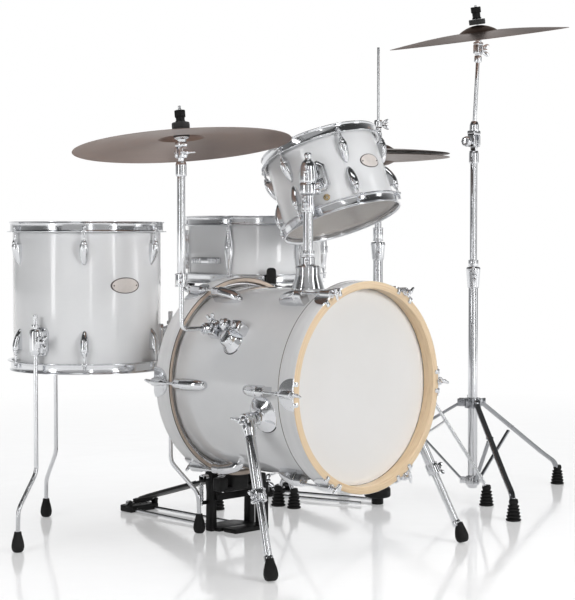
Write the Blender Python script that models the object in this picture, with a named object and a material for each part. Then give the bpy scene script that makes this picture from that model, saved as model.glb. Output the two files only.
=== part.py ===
import math

import bmesh
import bpy
import numpy as np

# Acoustic drum kit. Lengths are in millimetres about the bass drum's centre on the floor,
# and SHIFT moves the finished kit so that its footprint is centred on the origin.
SHIFT = (-318.21, -216.07, 0.0)

for old in list(bpy.data.objects):
    bpy.data.objects.remove(old, do_unlink=True)


KIT = bpy.data.objects.new("kit", None)
bpy.context.scene.collection.objects.link(KIT)
KIT.location = (SHIFT[0] / 1000, SHIFT[1] / 1000, 0)

# ---------------------------------------------------------------- driving positions
SPUR = {"left": (-240.0, -95.0, 300.0), "right": (240.0, -95.0, 300.0)}
FOOT = {"left": (-305.0, -231.0, 10.0), "right": (272.0, -240.0, 10.0)}
POST = np.array([0.0, -30.0, 0])
EGG = POST + (0, 0, 812.0)
CX, CY = -261.0, 83.9
PED_X, PED_Y, AXLE_Z = 36.0, 256.0, 126.0
HEEL = np.array([PED_X, 576.0, 24.0])
SN = np.array([277.0, 429.0, 0])
HH = np.array([518.0, 235.0, 0])
ST = np.array([769.0, 133.0, 0])
FT = np.array([-241.0, 430.0, 0])
CC = np.array([CX + 1.0, CY + 1.0, 893.0])
BOOM = ST + (0, 0, 912.0)
BOOM_TOP = ST + np.array([10.0, -4.0, 1128.0])

# A moving piece has its origin on its joint.
PIVOTS = {
    "spur_left_tube": SPUR["left"],
    "spur_left_rod": SPUR["left"],
    "spur_right_tube": SPUR["right"],
    "spur_right_rod": SPUR["right"],
    "tom_post": POST,
    "tom_tilter": POST + (0, 0, 700.0),
    "crash_tube": (CX, CY, 477.0),
    "crash_tilter": (CX, CY, 846.0),
    "crash_cymbal": CC,
    "crash_nut": CC,
    "pedal_board": HEEL,
    "pedal_beater": (PED_X, PED_Y, AXLE_Z),
    "hihat_tube": HH,
    "hihat_bottom": HH,
    "hihat_rod": HH,
    "hihat_top": HH,
    "snare_basket": SN,
    "stand_tube": ST,
    "stand_collar": ST,
    "stand_boom": BOOM,
}
for part in ("shell", "hoop_top", "hoop_bottom", "head_top", "head_bottom"):
    PIVOTS[f"rt_{part}"] = EGG
    PIVOTS[f"sn_{part}"] = SN

FINISHES = {
    "white": ((0.93, 0.93, 0.92), 0.12, 0.0),
    "maple": ((0.84, 0.68, 0.47), 0.35, 0.0),
    "film": ((0.9, 0.89, 0.87), 0.45, 0.0),
    "chrome": ((0.8, 0.8, 0.81), 0.08, 1.0),
    "bronze": ((0.45, 0.36, 0.28), 0.3, 1.0),
    "black": ((0.02, 0.02, 0.02), 0.45, 0.0),
}


def finish_of(name):
    if name in ("riser", "pedal_frame", "pedal_beater") or name.endswith("_nut"):
        return "black"
    if "cymbal" in name or name in ("hihat_top", "hihat_bottom"):
        return "bronze"
    if "head" in name:
        return "film"
    if name.endswith("_shell"):
        return "white"
    return "maple" if name.startswith("bd_hoop") else "chrome"


def material(finish):
    found = bpy.data.materials.get(finish)
    if found:
        return found
    colour, roughness, metallic = FINISHES[finish]
    made = bpy.data.materials.new(finish)
    made.use_nodes = True
    shader = made.node_tree.nodes["Principled BSDF"]
    shader.inputs["Base Color"].default_value = (*colour, 1)
    shader.inputs["Roughness"].default_value = roughness
    shader.inputs["Metallic"].default_value = metallic
    return made


# ---------------------------------------------------------------- shape helpers
def unit(v):
    v = np.array(v, float)
    return v / np.linalg.norm(v)


def basis(axis, hint=None):
    """Columns x, y, z of a frame whose z is the axis, and whose x is near the hint."""
    z = unit(axis)
    h = np.array(hint, float) if hint is not None else np.array([1.0, 0, 0])
    if abs(np.dot(unit(h), z)) > 0.95:
        h = np.array([0, 1.0, 0]) if abs(z[1]) < 0.9 else np.array([0, 0, 1.0])
    x = unit(h - z * np.dot(h, z))
    return np.stack([x, np.cross(z, x), z], axis=1)


def moved(shape, at=(0, 0, 0), rot=None, scale=None):
    points, faces = shape
    points = np.array(points, float)
    if scale is not None:
        points = points * np.array(scale, float)
    if rot is not None:
        points = points @ np.array(rot).T
    return points + np.array(at, float), faces


def rev(profile, n=32, ring=False):
    """Revolves (r, z) points about Z: a closed ring, or a solid whose ends lie on the axis."""
    points, faces, rows = [], [], []
    for r, z in profile:
        if r < 1e-6 and not ring:
            rows.append([len(points)] * n)
            points.append((0, 0, z))
        else:
            rows.append(list(range(len(points), len(points) + n)))
            for i in range(n):
                a = 2 * math.pi * i / n
                points.append((r * math.cos(a), r * math.sin(a), z))
    pairs = list(zip(rows, rows[1:] + rows[:1])) if ring else list(zip(rows, rows[1:]))
    for low, high in pairs:
        for i in range(n):
            j = (i + 1) % n
            face = []
            for k in (low[i], low[j], high[j], high[i]):
                if k not in face:
                    face.append(k)
            if len(face) > 2:
                faces.append(face)
    return np.array(points), faces


def cyl(r, z0, z1, n=12, bevel=0.0):
    if bevel:
        side = [(r - bevel, z0), (r, z0 + bevel), (r, z1 - bevel), (r - bevel, z1)]
        return rev([(0, z0), *side, (0, z1)], n)
    return rev([(0, z0), (r, z0), (r, z1), (0, z1)], n)


def rod(p, q, r, n=6, r2=None):
    p, q = np.array(p, float), np.array(q, float)
    length = np.linalg.norm(q - p)
    shape = rev([(0, 0), (r, 0), (r if r2 is None else r2, length), (0, length)], n)
    return moved(shape, p, basis(q - p))


def sleeve(p, q, ro, ri, depth, n=14, tip=0.0):
    """A rod from p to q with a blind bore of the given depth in its q end."""
    p, q = np.array(p, float), np.array(q, float)
    length = np.linalg.norm(q - p)
    outside = [(0, 0), (ro, 0), (ro, length - tip), (ro - tip * 0.3, length)]
    bore = [(ri, length), (ri, length - depth), (0, length - depth)]
    shape = rev(outside + bore, n)
    return moved(shape, p, basis(q - p))


def collar(p, q, ro, ri, n=14):
    """A short tube from p to q, open at both ends."""
    p, q = np.array(p, float), np.array(q, float)
    length = np.linalg.norm(q - p)
    return moved(rev([(ro, 0), (ro, length), (ri, length), (ri, 0)], n, True), p, basis(q - p))


def path(points, r, n=6):
    points = [np.array(p, float) for p in points]
    tangents = []
    for i in range(len(points)):
        a = unit(points[i] - points[i - 1]) if i else unit(points[1] - points[0])
        b = unit(points[i + 1] - points[i]) if i + 1 < len(points) else a
        tangents.append(unit(a + b))
    x = basis(tangents[0])[:, 0]
    verts, faces = [], []
    for p, t in zip(points, tangents):
        x = unit(x - t * np.dot(x, t))
        y = np.cross(t, x)
        for k in range(n):
            a = 2 * math.pi * k / n
            verts.append(p + r * (math.cos(a) * x + math.sin(a) * y))
    for i in range(len(points) - 1):
        for k in range(n):
            j = (k + 1) % n
            faces.append([i * n + k, i * n + j, (i + 1) * n + j, (i + 1) * n + k])
    faces.append(list(range(n))[::-1])
    faces.append([(len(points) - 1) * n + k for k in range(n)])
    return np.array(verts), faces


def bend(a, corner, b, radius, steps=3):
    """Points of a rounded corner between a and b."""
    a, corner, b = (np.array(v, float) for v in (a, corner, b))
    p, q = corner + unit(a - corner) * radius, corner + unit(b - corner) * radius
    out = [a]
    for i in range(steps + 1):
        t = i / steps
        out.append((1 - t) ** 2 * p + 2 * t * (1 - t) * corner + t**2 * q)
    return out + [b]


def box(centre, size, rot=None):
    x, y, z = (s / 2 for s in size)
    points = np.array([(sx * x, sy * y, sz * z) for sx in (-1, 1) for sy in (-1, 1) for sz in (-1, 1)])
    faces = [[0, 1, 3, 2], [4, 6, 7, 5], [0, 4, 5, 1], [2, 3, 7, 6], [0, 2, 6, 4], [1, 5, 7, 3]]
    return moved((points, faces), centre, rot)


def slab(outline, z0, z1):
    """A flat plate with the given (x, y) outline."""
    n = len(outline)
    points = [(x, y, z0) for x, y in outline] + [(x, y, z1) for x, y in outline]
    faces = [list(range(n))[::-1], list(range(n, 2 * n))]
    faces += [[i, (i + 1) % n, (i + 1) % n + n, i + n] for i in range(n)]
    return np.array(points, float), faces


def wing(at, axis, across, r=6.0, span=34.0, length=13.0):
    """A wing bolt: a boss along the axis and one thin blade across it."""
    z = unit(axis)
    frame = basis(z, across)
    boss = moved(rev([(0, 0), (r, 0), (r * 0.8, length), (0, length)], 6), at, frame)
    half = [(r * 0.8, length - 1), (span / 2, length + 9), (span / 2 + 1, length), (r, length * 0.35)]
    blade = slab([(-x, y) for x, y in half] + half[::-1], -2.2, 2.2)
    points, faces = blade
    points = points[:, [0, 2, 1]]
    return [boss, moved((points, faces), at, frame)]


def mesh_object(name, shape):
    points, faces = shape
    mesh = bpy.data.meshes.new(name)
    mesh.from_pydata([tuple(p) for p in points], [], faces)
    bm = bmesh.new()
    bm.from_mesh(mesh)
    bmesh.ops.recalc_face_normals(bm, faces=bm.faces)
    bm.to_mesh(mesh)
    bm.free()
    obj = bpy.data.objects.new(name, mesh)
    bpy.context.scene.collection.objects.link(obj)
    return obj


def bake(obj):
    graph = bpy.context.evaluated_depsgraph_get()
    return bpy.data.meshes.new_from_object(obj.evaluated_get(graph))


def spread(shapes):
    out = []
    for shape in shapes:
        nested = isinstance(shape, (list, tuple)) and not isinstance(shape[0], np.ndarray)
        out += spread(shape) if nested else [shape]
    return out


def node(name, *shapes, cuts=()):
    """Fuses the shapes into one body, cuts away the cutters, and names it."""
    flat = spread(shapes)
    obj = mesh_object(name, flat[0])
    helpers, group = [], None
    for operation, items in (("UNION", flat[1:]), ("DIFFERENCE", spread(cuts))):
        if not items:
            continue
        group = bpy.data.collections.new(name + operation)
        bpy.context.scene.collection.children.link(group)
        for i, item in enumerate(items):
            helper = mesh_object(f"{name}_{operation}_{i}", item)
            bpy.context.scene.collection.objects.unlink(helper)
            group.objects.link(helper)
            helper.hide_render = True
            helper.display_type = "WIRE"
            helpers.append(helper)
        modifier = obj.modifiers.new(operation, "BOOLEAN")
        modifier.operation = operation
        modifier.operand_type = "COLLECTION"
        modifier.collection = group
        modifier.solver = "EXACT"
    if helpers:
        mesh = bake(obj)
        obj.modifiers.clear()
        obj.data = mesh
        for helper in helpers:
            bpy.data.objects.remove(helper, do_unlink=True)
        for extra in [c for c in bpy.data.collections if c.name.startswith(name)]:
            bpy.data.collections.remove(extra)
    data = obj.data
    pivot = PIVOTS.get(name, (0.0, 0.0, 0.0))
    coordinates = np.empty(len(data.vertices) * 3)
    data.vertices.foreach_get("co", coordinates)
    coordinates = (coordinates.reshape(-1, 3) - pivot) / 1000
    data.vertices.foreach_set("co", coordinates.ravel())
    data.shade_smooth()
    data.set_sharp_from_angle(angle=math.radians(32))
    data.materials.clear()
    data.materials.append(material(finish_of(name)))
    obj.parent = KIT
    obj.location = np.array(pivot, float) / 1000
    return obj


# ---------------------------------------------------------------- drum helpers
def placed(shapes, at, frame):
    out = []
    for shape in shapes:
        out += placed(shape, at, frame) if isinstance(shape, list) else [moved(shape, at, frame)]
    return out


def polar(r, degrees, z=0.0):
    a = math.radians(degrees)
    return np.array([r * math.cos(a), r * math.sin(a), z])


def facing(degrees):
    """Frame with x outward at this angle, y along the circle, z up."""
    a = math.radians(degrees)
    return np.array([[math.cos(a), -math.sin(a), 0], [math.sin(a), math.cos(a), 0], [0, 0, 1]])


def lug(r, degrees, z0, z1, width=8.5, depth=8.5, out=6.0):
    """A rounded casing on the shell's side from z0 to z1."""
    return box(polar(r + out - 1, degrees, (z0 + z1) / 2), (2 * depth, 1.7 * width, z1 - z0), facing(degrees))


def shell(r, z0, z1, thick=6.0, n=28):
    return rev([(r, z0), (r, z1), (r - thick, z1), (r - thick, z0)], n, True)


def hoop(r, edge, up, angles, lug_end, rod_r=2.8, flange=10.0, n=28):
    """A flanged steel hoop over a shell edge, with its ears, rods and rod heads."""
    def z(v):
        return edge + up * v
    profile = [(3.2, -13), (flange, -13), (6.2, -8), (8.0, 11), (3.2, 11)]
    ring = rev([(r + out, z(up)) for out, up in profile], n, True)
    out = [ring]
    for a in angles:
        low, high = sorted((z(-5.0), lug_end + up * 0.6))
        out.append(moved(cyl(rod_r, low, high, 6), polar(r + 11.0, a)))
    return out


def head(r, edge, up, n=28):
    def z(v):
        return edge + up * v
    rim = [(r + 0.5, z(0.5)), (r + 0.5, z(-8.5)), (r + 2.6, z(-8.5)), (r + 2.6, z(1.6))]
    return rev([(0, z(0.5)), *rim, (0, z(1.6))], n)


def cymbal(radius, bell_r, bell_h, rise, hole, thick=1.2, n=24):
    """A bowed disc with a bell, its centre hole at the origin and the edge below it."""
    def top(r):
        if r < bell_r:
            return bell_h * math.cos(math.pi / 2 * r / bell_r) ** 0.8 if r < bell_r else 0
        return -rise * ((r - bell_r) / (radius - bell_r)) ** 1.5
    stops = [hole, bell_r * 0.6, bell_r, radius * 0.62, radius]
    upper = [(r, top(r) - bell_h) for r in stops]
    lower = [(r, z - thick) for r, z in upper][::-1]
    return rev(upper + lower, n, True)


# ---------------------------------------------------------------- bass drum
R, MID = 203.0, 357.0
FRONT, REAR = -179.8, 185.8


def bd(shapes):
    frame = np.stack([[1, 0, 0], [0, 0, -1], [0, 1, 0]], axis=1)
    return placed(shapes if isinstance(shapes, list) else [shapes], (0, 0, MID), frame)


SIX = [0, 60, 120, 180, 240, 300]
bd_parts = [shell(R, FRONT, REAR, 7.5, 36)]
for a in SIX:
    bd_parts.append(lug(R, a, -126, -52, 10, 16, 13))
    bd_parts.append(lug(R, a, 70, 146, 10, 16, 13))
bd_all = bd(bd_parts)
# tom post socket on top
mount = [(33, 556), (33.5, 568), (28, 588), (27.5, 607), (22, 610), (14, 610.5), (13.5, 626)]
mount += [(10.6, 626), (10.6, 530), (20, 530), (20, 556)]
bd_all.append(moved(rev(mount, 20, True), POST))
# crash arm clamp on the left
bd_all.append(box((-172, 36, 472), (30, 88, 60), basis((-0.81, 0, 0.59), (0, 1, 0))[:, [2, 0, 1]]))
arm_axis = unit((-96.0, 20.0, 0))
clamp_a = np.array([-184.0, 67.9, 477.0])
clamp_b = clamp_a + arm_axis * 44
bd_all.append(collar(clamp_a, clamp_b, 13, 5.8))
bd_all += wing(clamp_a + arm_axis * 24 + (0, 0, 9), (0.2, -0.5, 0.9), (1, 0, 0), 6, 30, 14)
# spur brackets
for side, sx in (("left", -1), ("right", 1)):
    dish = rev([(0, -3), (38, -3), (30, 8), (14, 15), (13, 21), (0, 21)], 16)
    bd_all.append(moved(dish, (sx * 196, -95, 308), basis((sx, 0, -0.2))))
    bd_all.append(rod((sx * 208, -95, 303), (sx * 223.5, -95, 301), 11, 10))
node("bd_shell", bd_all, cuts=[moved(cyl(10.6, 500, 600, 20), POST)])


def bd_hoop(sign, face):
    """Wood hoop with claws and T-rods; sign is +1 at the rear."""
    def y(v):
        return face - sign * v
    profile = [(206, 0), (222, 0), (222, 45), (213, 45), (213, 27.3), (206, 27.3)]
    ring = rev([(r, y(depth)) for r, depth in profile], 36, True)
    out = [ring]
    for a in SIX:
        p = polar(R + 25, a)
        end = -126.5 if sign < 0 else 146.5
        low, high = sorted((y(-2), y(30)))
        out.append(moved(cyl(12, low, high, 8), polar(224.5, a), facing(a), (0.62, 1, 1)))
        low, high = sorted((y(-9), end))
        out.append(moved(cyl(3.1, low, high, 6), p))
    return bd(out)


def rings(r, zin, zout):
    under = zout + (0.9 if zin > zout else -0.9)
    flesh_hoop = [(r + 9.5, zout), (r + 9.5, zin), (r + 0.6, zin), (r + 0.6, under)]
    return rev([(0, zout), *flesh_hoop, (0, under)], 36)


node("bd_hoop_front", bd_hoop(-1, -209.0))
node("bd_hoop_rear", bd_hoop(1, 215.0))
node("bd_head_front", bd(rings(R, FRONT + 11, FRONT - 1.4)))
node("bd_head_rear", bd(rings(R, REAR - 11, REAR + 1.4)))

hinge_drum = rev([(0, -12.5), (12, -12.5), (14, -6), (14, 6), (12, 12.5), (0, 12.5)], 12)
for side, sx in (("left", -1), ("right", 1)):
    top, foot = np.array(SPUR[side]), np.array(FOOT[side])
    way = unit(foot - top)
    tube_end = top + way * 165
    node(
        f"spur_{side}_tube",
        sleeve(top - way * 12, tube_end, 11.0, 8.9, 120, 12),
        moved(hinge_drum, top, basis((sx, 0, -0.1))),
        wing(top + np.array([sx * 12, 0, 0]), (sx, 0, 0), (0, 1, 0.3), 6, 34, 12),
        collar(tube_end - way * 16, tube_end + way * 8, 14.0, 9.4, 12),
        wing(tube_end - way * 4 + np.array([sx * 12, 0, 0]), (sx, -0.3, 0), way, 5, 26, 10),
    )
    node(
        f"spur_{side}_rod",
        rod(top + way * 110, foot - way * 6, 8.0, 10),
        moved(rev([(0, -9.5), (11, -9.5), (15, -4), (15, 12), (12.5, 26), (9.5, 34), (0, 35)], 14), foot),
    )

# ---------------------------------------------------------------- riser and kick pedal
node(
    "riser",
    slab([(-14, 184), (92, 184), (92, 228), (-14, 228)], 0, 10),
    box((84, 202, 55), (12, 34, 104)),
    box((20, 196, 104), (140, 26, 10)),
    box((0, 196, 118), (50, 30, 33)),
    box((-50, 196, 116), (26, 26, 30)),
    box((62, 196, 116), (40, 26, 30)),
    wing((90, 200, 106), (1, 0, 0.1), (0, 0.4, 1), 6, 30, 16),
)
frame_parts = [
    slab([(-58, -24), (58, -24), (58, 8), (44, 40), (-44, 40), (-58, 8)], 0, 9),
    box((-59.5, 0, 72), (17, 22, 144)),
    box((59.5, 0, 72), (17, 22, 144)),
    box((0, -12, 78), (110, 8, 16)),
    path([(-34, 30, 5), (-33, 170, 6), (-30, 316, 7)], 3.6, 6),
    path([(34, 30, 5), (33, 170, 6), (30, 316, 7)], 3.6, 6),
    slab([(-44, 308), (44, 308), (44, 350), (36, 358), (-36, 358), (-44, 350)], 1, 16),
    rod((-40, 314, 12), (-40, 320, 24), 7, 6),
    rod((40, 314, 12), (40, 320, 24), 7, 6),
    rod((-45, 320, 24), (-35, 320, 24), 8, 8),
    rod((35, 320, 24), (45, 320, 24), 8, 8),
    rod((-84, 8, 64), (-84, 8, 112), 5.5, 8),
    rod((-64, 6, 66), (-85, 8, 66), 4.5, 8),
]
frame_bores = [
    rod((-50.6, 0, AXLE_Z), (-120, 0, AXLE_Z), 7.4, 12),
    rod((50.6, 0, AXLE_Z), (120, 0, AXLE_Z), 7.4, 12),
    rod((-60, 320, 24), (60, 320, 24), 3.6, 6),
]
here = (PED_X, PED_Y, 0)
node("pedal_frame", placed(frame_parts, here, np.eye(3)), cuts=placed(frame_bores, here, np.eye(3)))

TOE = np.array([PED_X, 288.0, 108.0])
along = unit(TOE - HEEL)
board_frame = np.stack([[1, 0, 0], along, np.cross([1, 0, 0], along)], axis=1)
length = np.linalg.norm(TOE - HEEL)
board_side = [(28, 6), (42, 60), (45, 150), (40, 250), (26, length)]
board_outline = board_side + [(-x, y) for x, y in board_side[::-1]]
board = moved(slab(board_outline, -8, -2), HEEL, board_frame)
node(
    "pedal_board",
    board,
    moved(box((0, 5, -3.5), (54, 14, 11)), HEEL, board_frame),
    rod(HEEL - (50, 0, 0), HEEL + (50, 0, 0), 2.9, 8),
    moved(box((0, length - 8, -9), (16, 18, 12)), HEEL, board_frame),
)
back = math.radians(40)
shaft = np.array([0, math.sin(back), math.cos(back)])
axle = np.array([PED_X, PED_Y, AXLE_Z])
beater_head = rev([(0, -22), (20, -22), (25, -16), (25, 14), (20, 22), (0, 22)], 14)
node(
    "pedal_beater",
    rod(axle - (88, 0, 0), axle + (72, 0, 0), 6.3, 12),
    moved(cyl(21, -7, 7, 14), axle + (0, 4, 2), basis((1, 0, 0))),
    box(axle + shaft * 10 + (18, 0, 0), (18, 20, 26), basis(shaft, (1, 0, 0))),
    rod(axle + shaft * 4 + (18, 0, 0), axle + shaft * 168 + (18, 0, 0), 3.2, 8),
    moved(beater_head, axle + shaft * 180 + (18, 0, 0), basis(np.cross((1, 0, 0), shaft))),
    box(axle + (-84, 2, -4), (8, 18, 14)),
)

# ---------------------------------------------------------------- rack tom and its holder
node(
    "tom_post",
    sleeve(POST + (0, 0, 540), POST + (0, 0, 758), 9.6, 6.0, 60),
    collar(POST + (0, 0, 726), POST + (0, 0, 759), 13.2, 7.8, 18),
    collar(POST + (0, 0, 629), POST + (0, 0, 641), 14.5, 9.0),
    wing(POST + (-11, -6, 742), (-1, -0.4, 0), (0, 0, 1), 5, 26, 11),
)
TOM = np.array([148.0, 45.0, 790.0])
TOM_AXIS = unit((-0.051, 0.354, 0.934))
TR, T0, T1 = 127.0, -83.0, 83.0
toward = unit(np.array([POST[0], POST[1], 0]) - np.array([TOM[0], TOM[1], 0]))
tom_frame = basis(TOM_AXIS, toward)
socket = TOM + tom_frame @ np.array([TR + 2, 0, 4])
arm_dir = unit(socket - EGG)
egg = [(0, 760.5), (16, 761), (17.5, 766), (17.5, 786), (15, 790), (14, 794), (17, 806)]
egg += [(17, 820), (12, 832), (8, 836), (8, 848), (5, 851), (0, 851)]
node(
    "tom_tilter",
    rod(POST + (0, 0, 705), POST + (0, 0, 764), 5.4, 12),
    moved(rev(egg, 16), POST),
    wing(EGG + (-12, -9, -2), (-0.8, -0.6, 0), (0, 0, 1), 5, 28, 14),
)
TOM_LUGS = [37.5 + 60 * i for i in range(6)]
rack = [shell(TR, T0, T1)]
for a in TOM_LUGS:
    rack.append(lug(TR, a, T1 - 77, T1 - 32))
    rack.append(lug(TR, a, T0 + 32, T0 + 77))
rack_all = placed(rack, TOM, tom_frame)
rack_all += placed([box((TR + 1.5, 0, -4), (10, 38, 70))], TOM, tom_frame)
ball = EGG + arm_dir * 21.5
rack_all.append(rod(ball, socket, 8, 10))
node("rt_shell", rack_all)
node("rt_hoop_top", placed(hoop(TR, T1, 1, TOM_LUGS, T1 - 32, flange=12), TOM, tom_frame))
node("rt_hoop_bottom", placed(hoop(TR, T0, -1, TOM_LUGS, T0 + 32, flange=12), TOM, tom_frame))
node("rt_head_top", placed([head(TR, T1, 1)], TOM, tom_frame))
node("rt_head_bottom", placed([head(TR, T0, -1)], TOM, tom_frame))

# ---------------------------------------------------------------- crash arm on the bass drum
corner = np.array([CX, CY, 476.0])
inner = corner - arm_axis * 67.5
node(
    "crash_arm",
    path(bend(inner + (0, 0, 1.0), corner + (0, 0, 1.0), (CX, CY, 640), 16, 4), 5.0, 10),
)
node(
    "crash_tube",
    sleeve((CX, CY, 806), (CX, CY, 571), 8.6, 6.0, 120),
    collar((CX, CY, 566), (CX, CY, 594), 12.8, 7.3, 18),
    wing((CX - 8, CY - 8, 582), (-0.7, -0.7, 0), (0, 0, 1), 5, 26, 11),
    rod((CX, CY, 797), (CX, CY, 826), 11.5, 12),
    box((CX, CY, 836), (12, 9, 26)),
)
CRASH_N = unit((0.0085, 0.115, 0.993))
PIVOT = np.array([CX, CY, 846.0])
cframe = basis(CRASH_N)
node(
    "crash_tilter",
    box(PIVOT + (0, 9, 0), (14, 7.5, 24)),
    box(PIVOT + (0, -9, 0), (14, 7.5, 24)),
    box(PIVOT + (0, 0, 16.5), (14, 25, 10)),
    rod(PIVOT + (0, 0, 14), CC - CRASH_N * 22, 8.5, 12),
    rod(CC - CRASH_N * 26, CC - CRASH_N * 4, 9.5, 12),
    rod(CC - CRASH_N * 20, CC + CRASH_N * 52, 3.0, 10),
    wing(PIVOT + (0, -12, 0), (-0.35, -1, 0), (1, 0, 0), 6, 30, 13),
)
node("crash_cymbal", placed([cymbal(228.6, 48, 17, 17, 5.5)], CC, cframe))
crash_nut = [(11, 1.2), (16.5, 1.8), (17, 5), (17, 14), (14, 16), (12, 17), (11.5, 20)]
crash_nut += [(12, 37), (9, 41), (4.2, 41), (4.2, 1.2)]
node(
    "crash_nut",
    placed([rev(crash_nut, 10, True)], CC, cframe),
)

# ---------------------------------------------------------------- floor tom
FR, F0, F1 = 165.0, 386.0, 692.0
FT_LUGS = [-129.7 + 60 * i for i in range(6)]
FT_LEGS = {"a": -164.0, "b": 76.0, "c": -44.0}
ft = [shell(FR, F0, F1)]
for a in FT_LUGS:
    ft.append(lug(FR, a, F1 - 86, F1 - 36))
    ft.append(lug(FR, a, F0 + 36, F0 + 86))
for a in FT_LEGS.values():
    ft.append(box(polar(FR + 5, a, 444), (14, 34, 52), facing(a)))
    ft.append(moved(rev([(12, 424), (12, 464), (5.7, 464), (5.7, 424)], 12, True), polar(FR + 22, a)))
    ft += placed(wing((11, 0, 0), (1, 0, 0), (0, 1, 0), 5.5, 30, 12), polar(FR + 22, a, 444), facing(a))
node("ft_shell", placed(ft, FT, np.eye(3)))
node("ft_hoop_top", placed(hoop(FR, F1, 1, FT_LUGS, F1 - 36), FT, np.eye(3)))
node("ft_hoop_bottom", placed(hoop(FR, F0, -1, FT_LUGS, F0 + 36), FT, np.eye(3)))
node("ft_head_top", placed([head(FR, F1, 1)], FT, np.eye(3)))
node("ft_head_bottom", placed([head(FR, F0, -1)], FT, np.eye(3)))
for key, a in FT_LEGS.items():
    top = FR + 22
    bend = [(top, 0, 168), (top + 6, 0, 158), (top + 58, 0, 96), (top + 64, 0, 84)]
    pts = [(top, 0, 502), *bend, (top + 64, 0, 12)]
    foot = rev([(0, 0), (10, 0), (13.5, 4), (13.5, 30), (11, 38), (7, 44), (0, 44)], 14)
    node(f"ft_leg_{key}", placed([path(pts, 4.7, 10), moved(foot, (top + 64, 0, 0))], FT, facing(a)))

# ---------------------------------------------------------------- snare drum and stand
SR, S0, S1 = 165.0, 571.0, 709.0
SN_LUGS = [-154 + 60 * i for i in range(6)]
sn = [shell(SR, S0, S1, 4.5)]
for a in SN_LUGS:
    sn.append(lug(SR, a, S0 + 22, S1 - 22, 9))
STRAIN = 2.0
sn.append(box(polar(SR + 4, STRAIN, 640), (12, 26, 60), facing(STRAIN)))
sn.append(box(polar(SR + 4, STRAIN + 180, 614), (14, 90, 16), facing(STRAIN + 180)))
node("sn_shell", placed(sn, SN, np.eye(3)))
node("sn_hoop_top", placed(hoop(SR, S1, 1, SN_LUGS, S1 - 22), SN, np.eye(3)))
node("sn_hoop_bottom", placed(hoop(SR, S0, -1, SN_LUGS, S0 + 22), SN, np.eye(3)))
node("sn_head_top", placed([head(SR, S1, 1)], SN, np.eye(3)))
node("sn_head_bottom", placed([head(SR, S0, -1)], SN, np.eye(3)))
lever = [
    rod((15.4, -11, 656), (15.4, 11, 656), 4.5, 8),
    box((16.4, 0, 634), (5, 14, 48)),
    box((21, 0, 610), (12, 12, 6)),
]
node(
    "sn_lever",
    placed(lever, SN + polar(SR, STRAIN), facing(STRAIN)),
)
snare_foot = rev([(0, 0), (16, 0), (17, 40), (12, 50), (0, 50)], 8)
base = [
    sleeve(SN + (0, 0, 60), SN + (0, 0, 420), 11, 8.6, 150, 16),
    collar(SN + (0, 0, 398), SN + (0, 0, 426), 16, 9.8, 18),
    moved(cyl(17, 60, 84, 12), SN),
    moved(cyl(17, 236, 262, 12), SN),
]
base += wing(SN + (-13, -6, 412), (-1, -0.5, 0), (0, 0, 1), 5, 28, 11)
for a in (164.0, -61.0, 50.0):
    frame = facing(a)
    snare_leg = path([(14, 0, 250), (70, 0, 130), (102, 0, 40)], 5.5, 6)
    snare_brace = path([(14, 0, 74), (52, 0, 84), (78, 0, 108)], 4.0, 6)
    base += placed([snare_leg, snare_brace, moved(snare_foot, (102, 0, 0))], SN, frame)
node("snare_base", base)
TIPS = (-121.5, -1.5, 118.5)
basket = [
    rod(SN + (0, 0, 320), SN + (0, 0, 472), 7.9, 14),
    rod(SN + (0, 0, 462), SN + (0, 0, 500), 15, 12),
    moved(rev([(0, 488), (26, 490), (26, 508), (0, 510)], 14), SN),
    rod(SN + (0, 0, 500), SN + (0, 0, 524), 12, 12),
]
for a in TIPS:
    frame = facing(a)
    arm = path([(12, 0, 500), (70, 0, 512), (150, 0, 528), (184, 0, 536), (191, 0, 566)], 5.0, 6)
    tip = box((191, 0, 572), (12, 26, 30))
    rest = box((176, 0, 554.2), (34, 22, 11))
    basket += placed([arm, tip, rest], SN, frame)
node("snare_basket", basket)

# ---------------------------------------------------------------- hi-hat
big_foot = rev([(0, 0), (17, 0), (18.5, 40), (12, 52), (0, 52)], 8)
hh = [
    sleeve(HH + (0, 0, 18), HH + (0, 0, 632), 12, 8.9, 158, 16),
    collar(HH + (0, 0, 616), HH + (0, 0, 658), 18, 10.4, 18),
]
hh += wing(HH + (-12, -12, 640), (-0.7, -0.7, 0), (0, 0, 1), 6, 32, 15)
hh += [moved(cyl(20, 440, 466, 14), HH), moved(cyl(18, 96, 118, 14), HH)]
for a, r in ((-49.0, 272.0), (141.0, 250.0)):
    hihat_leg = path([(16, 0, 453), (r - 8, 0, 62), (r, 0, 40)], 6.5, 6)
    hihat_brace = path([(15, 0, 106), (r * 0.62, 0, 212)], 4.5, 6)
    hh += placed([hihat_leg, hihat_brace, moved(big_foot, (r, 0, 0))], HH, facing(a))
PED_DIR = 106.0
pf = facing(PED_DIR)
hh += placed([
    slab([(-36, -44), (30, -44), (44, -30), (44, 30), (30, 44), (-36, 44)], 0, 20),
    path([(30, -34, 6), (120, -34, 6), (292, -30, 6)], 3.6, 6),
    path([(30, 34, 6), (120, 34, 6), (292, 30, 6)], 3.6, 6),
    slab([(284, -42), (334, -42), (342, -34), (342, 34), (334, 42), (284, 42)], 1, 15),
    rod((288, -40, 10), (276, -40, 24), 6.5, 6), rod((288, 40, 10), (276, 40, 24), 6.5, 6),
    rod((276, -44.5, 24), (276, -35.5, 24), 7.5, 8), rod((276, 35.5, 24), (276, 44.5, 24), 7.5, 8),
], HH, pf)
hh_cut = placed([rod((276, -60, 24), (276, 60, 24), 3.6, 6)], HH, pf)
node("hihat_base", hh, cuts=hh_cut)
hheel = HH + pf @ np.array([276.0, 0, 24.0])
htoe = HH + pf @ np.array([24.0, 0, 92.0])
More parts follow.
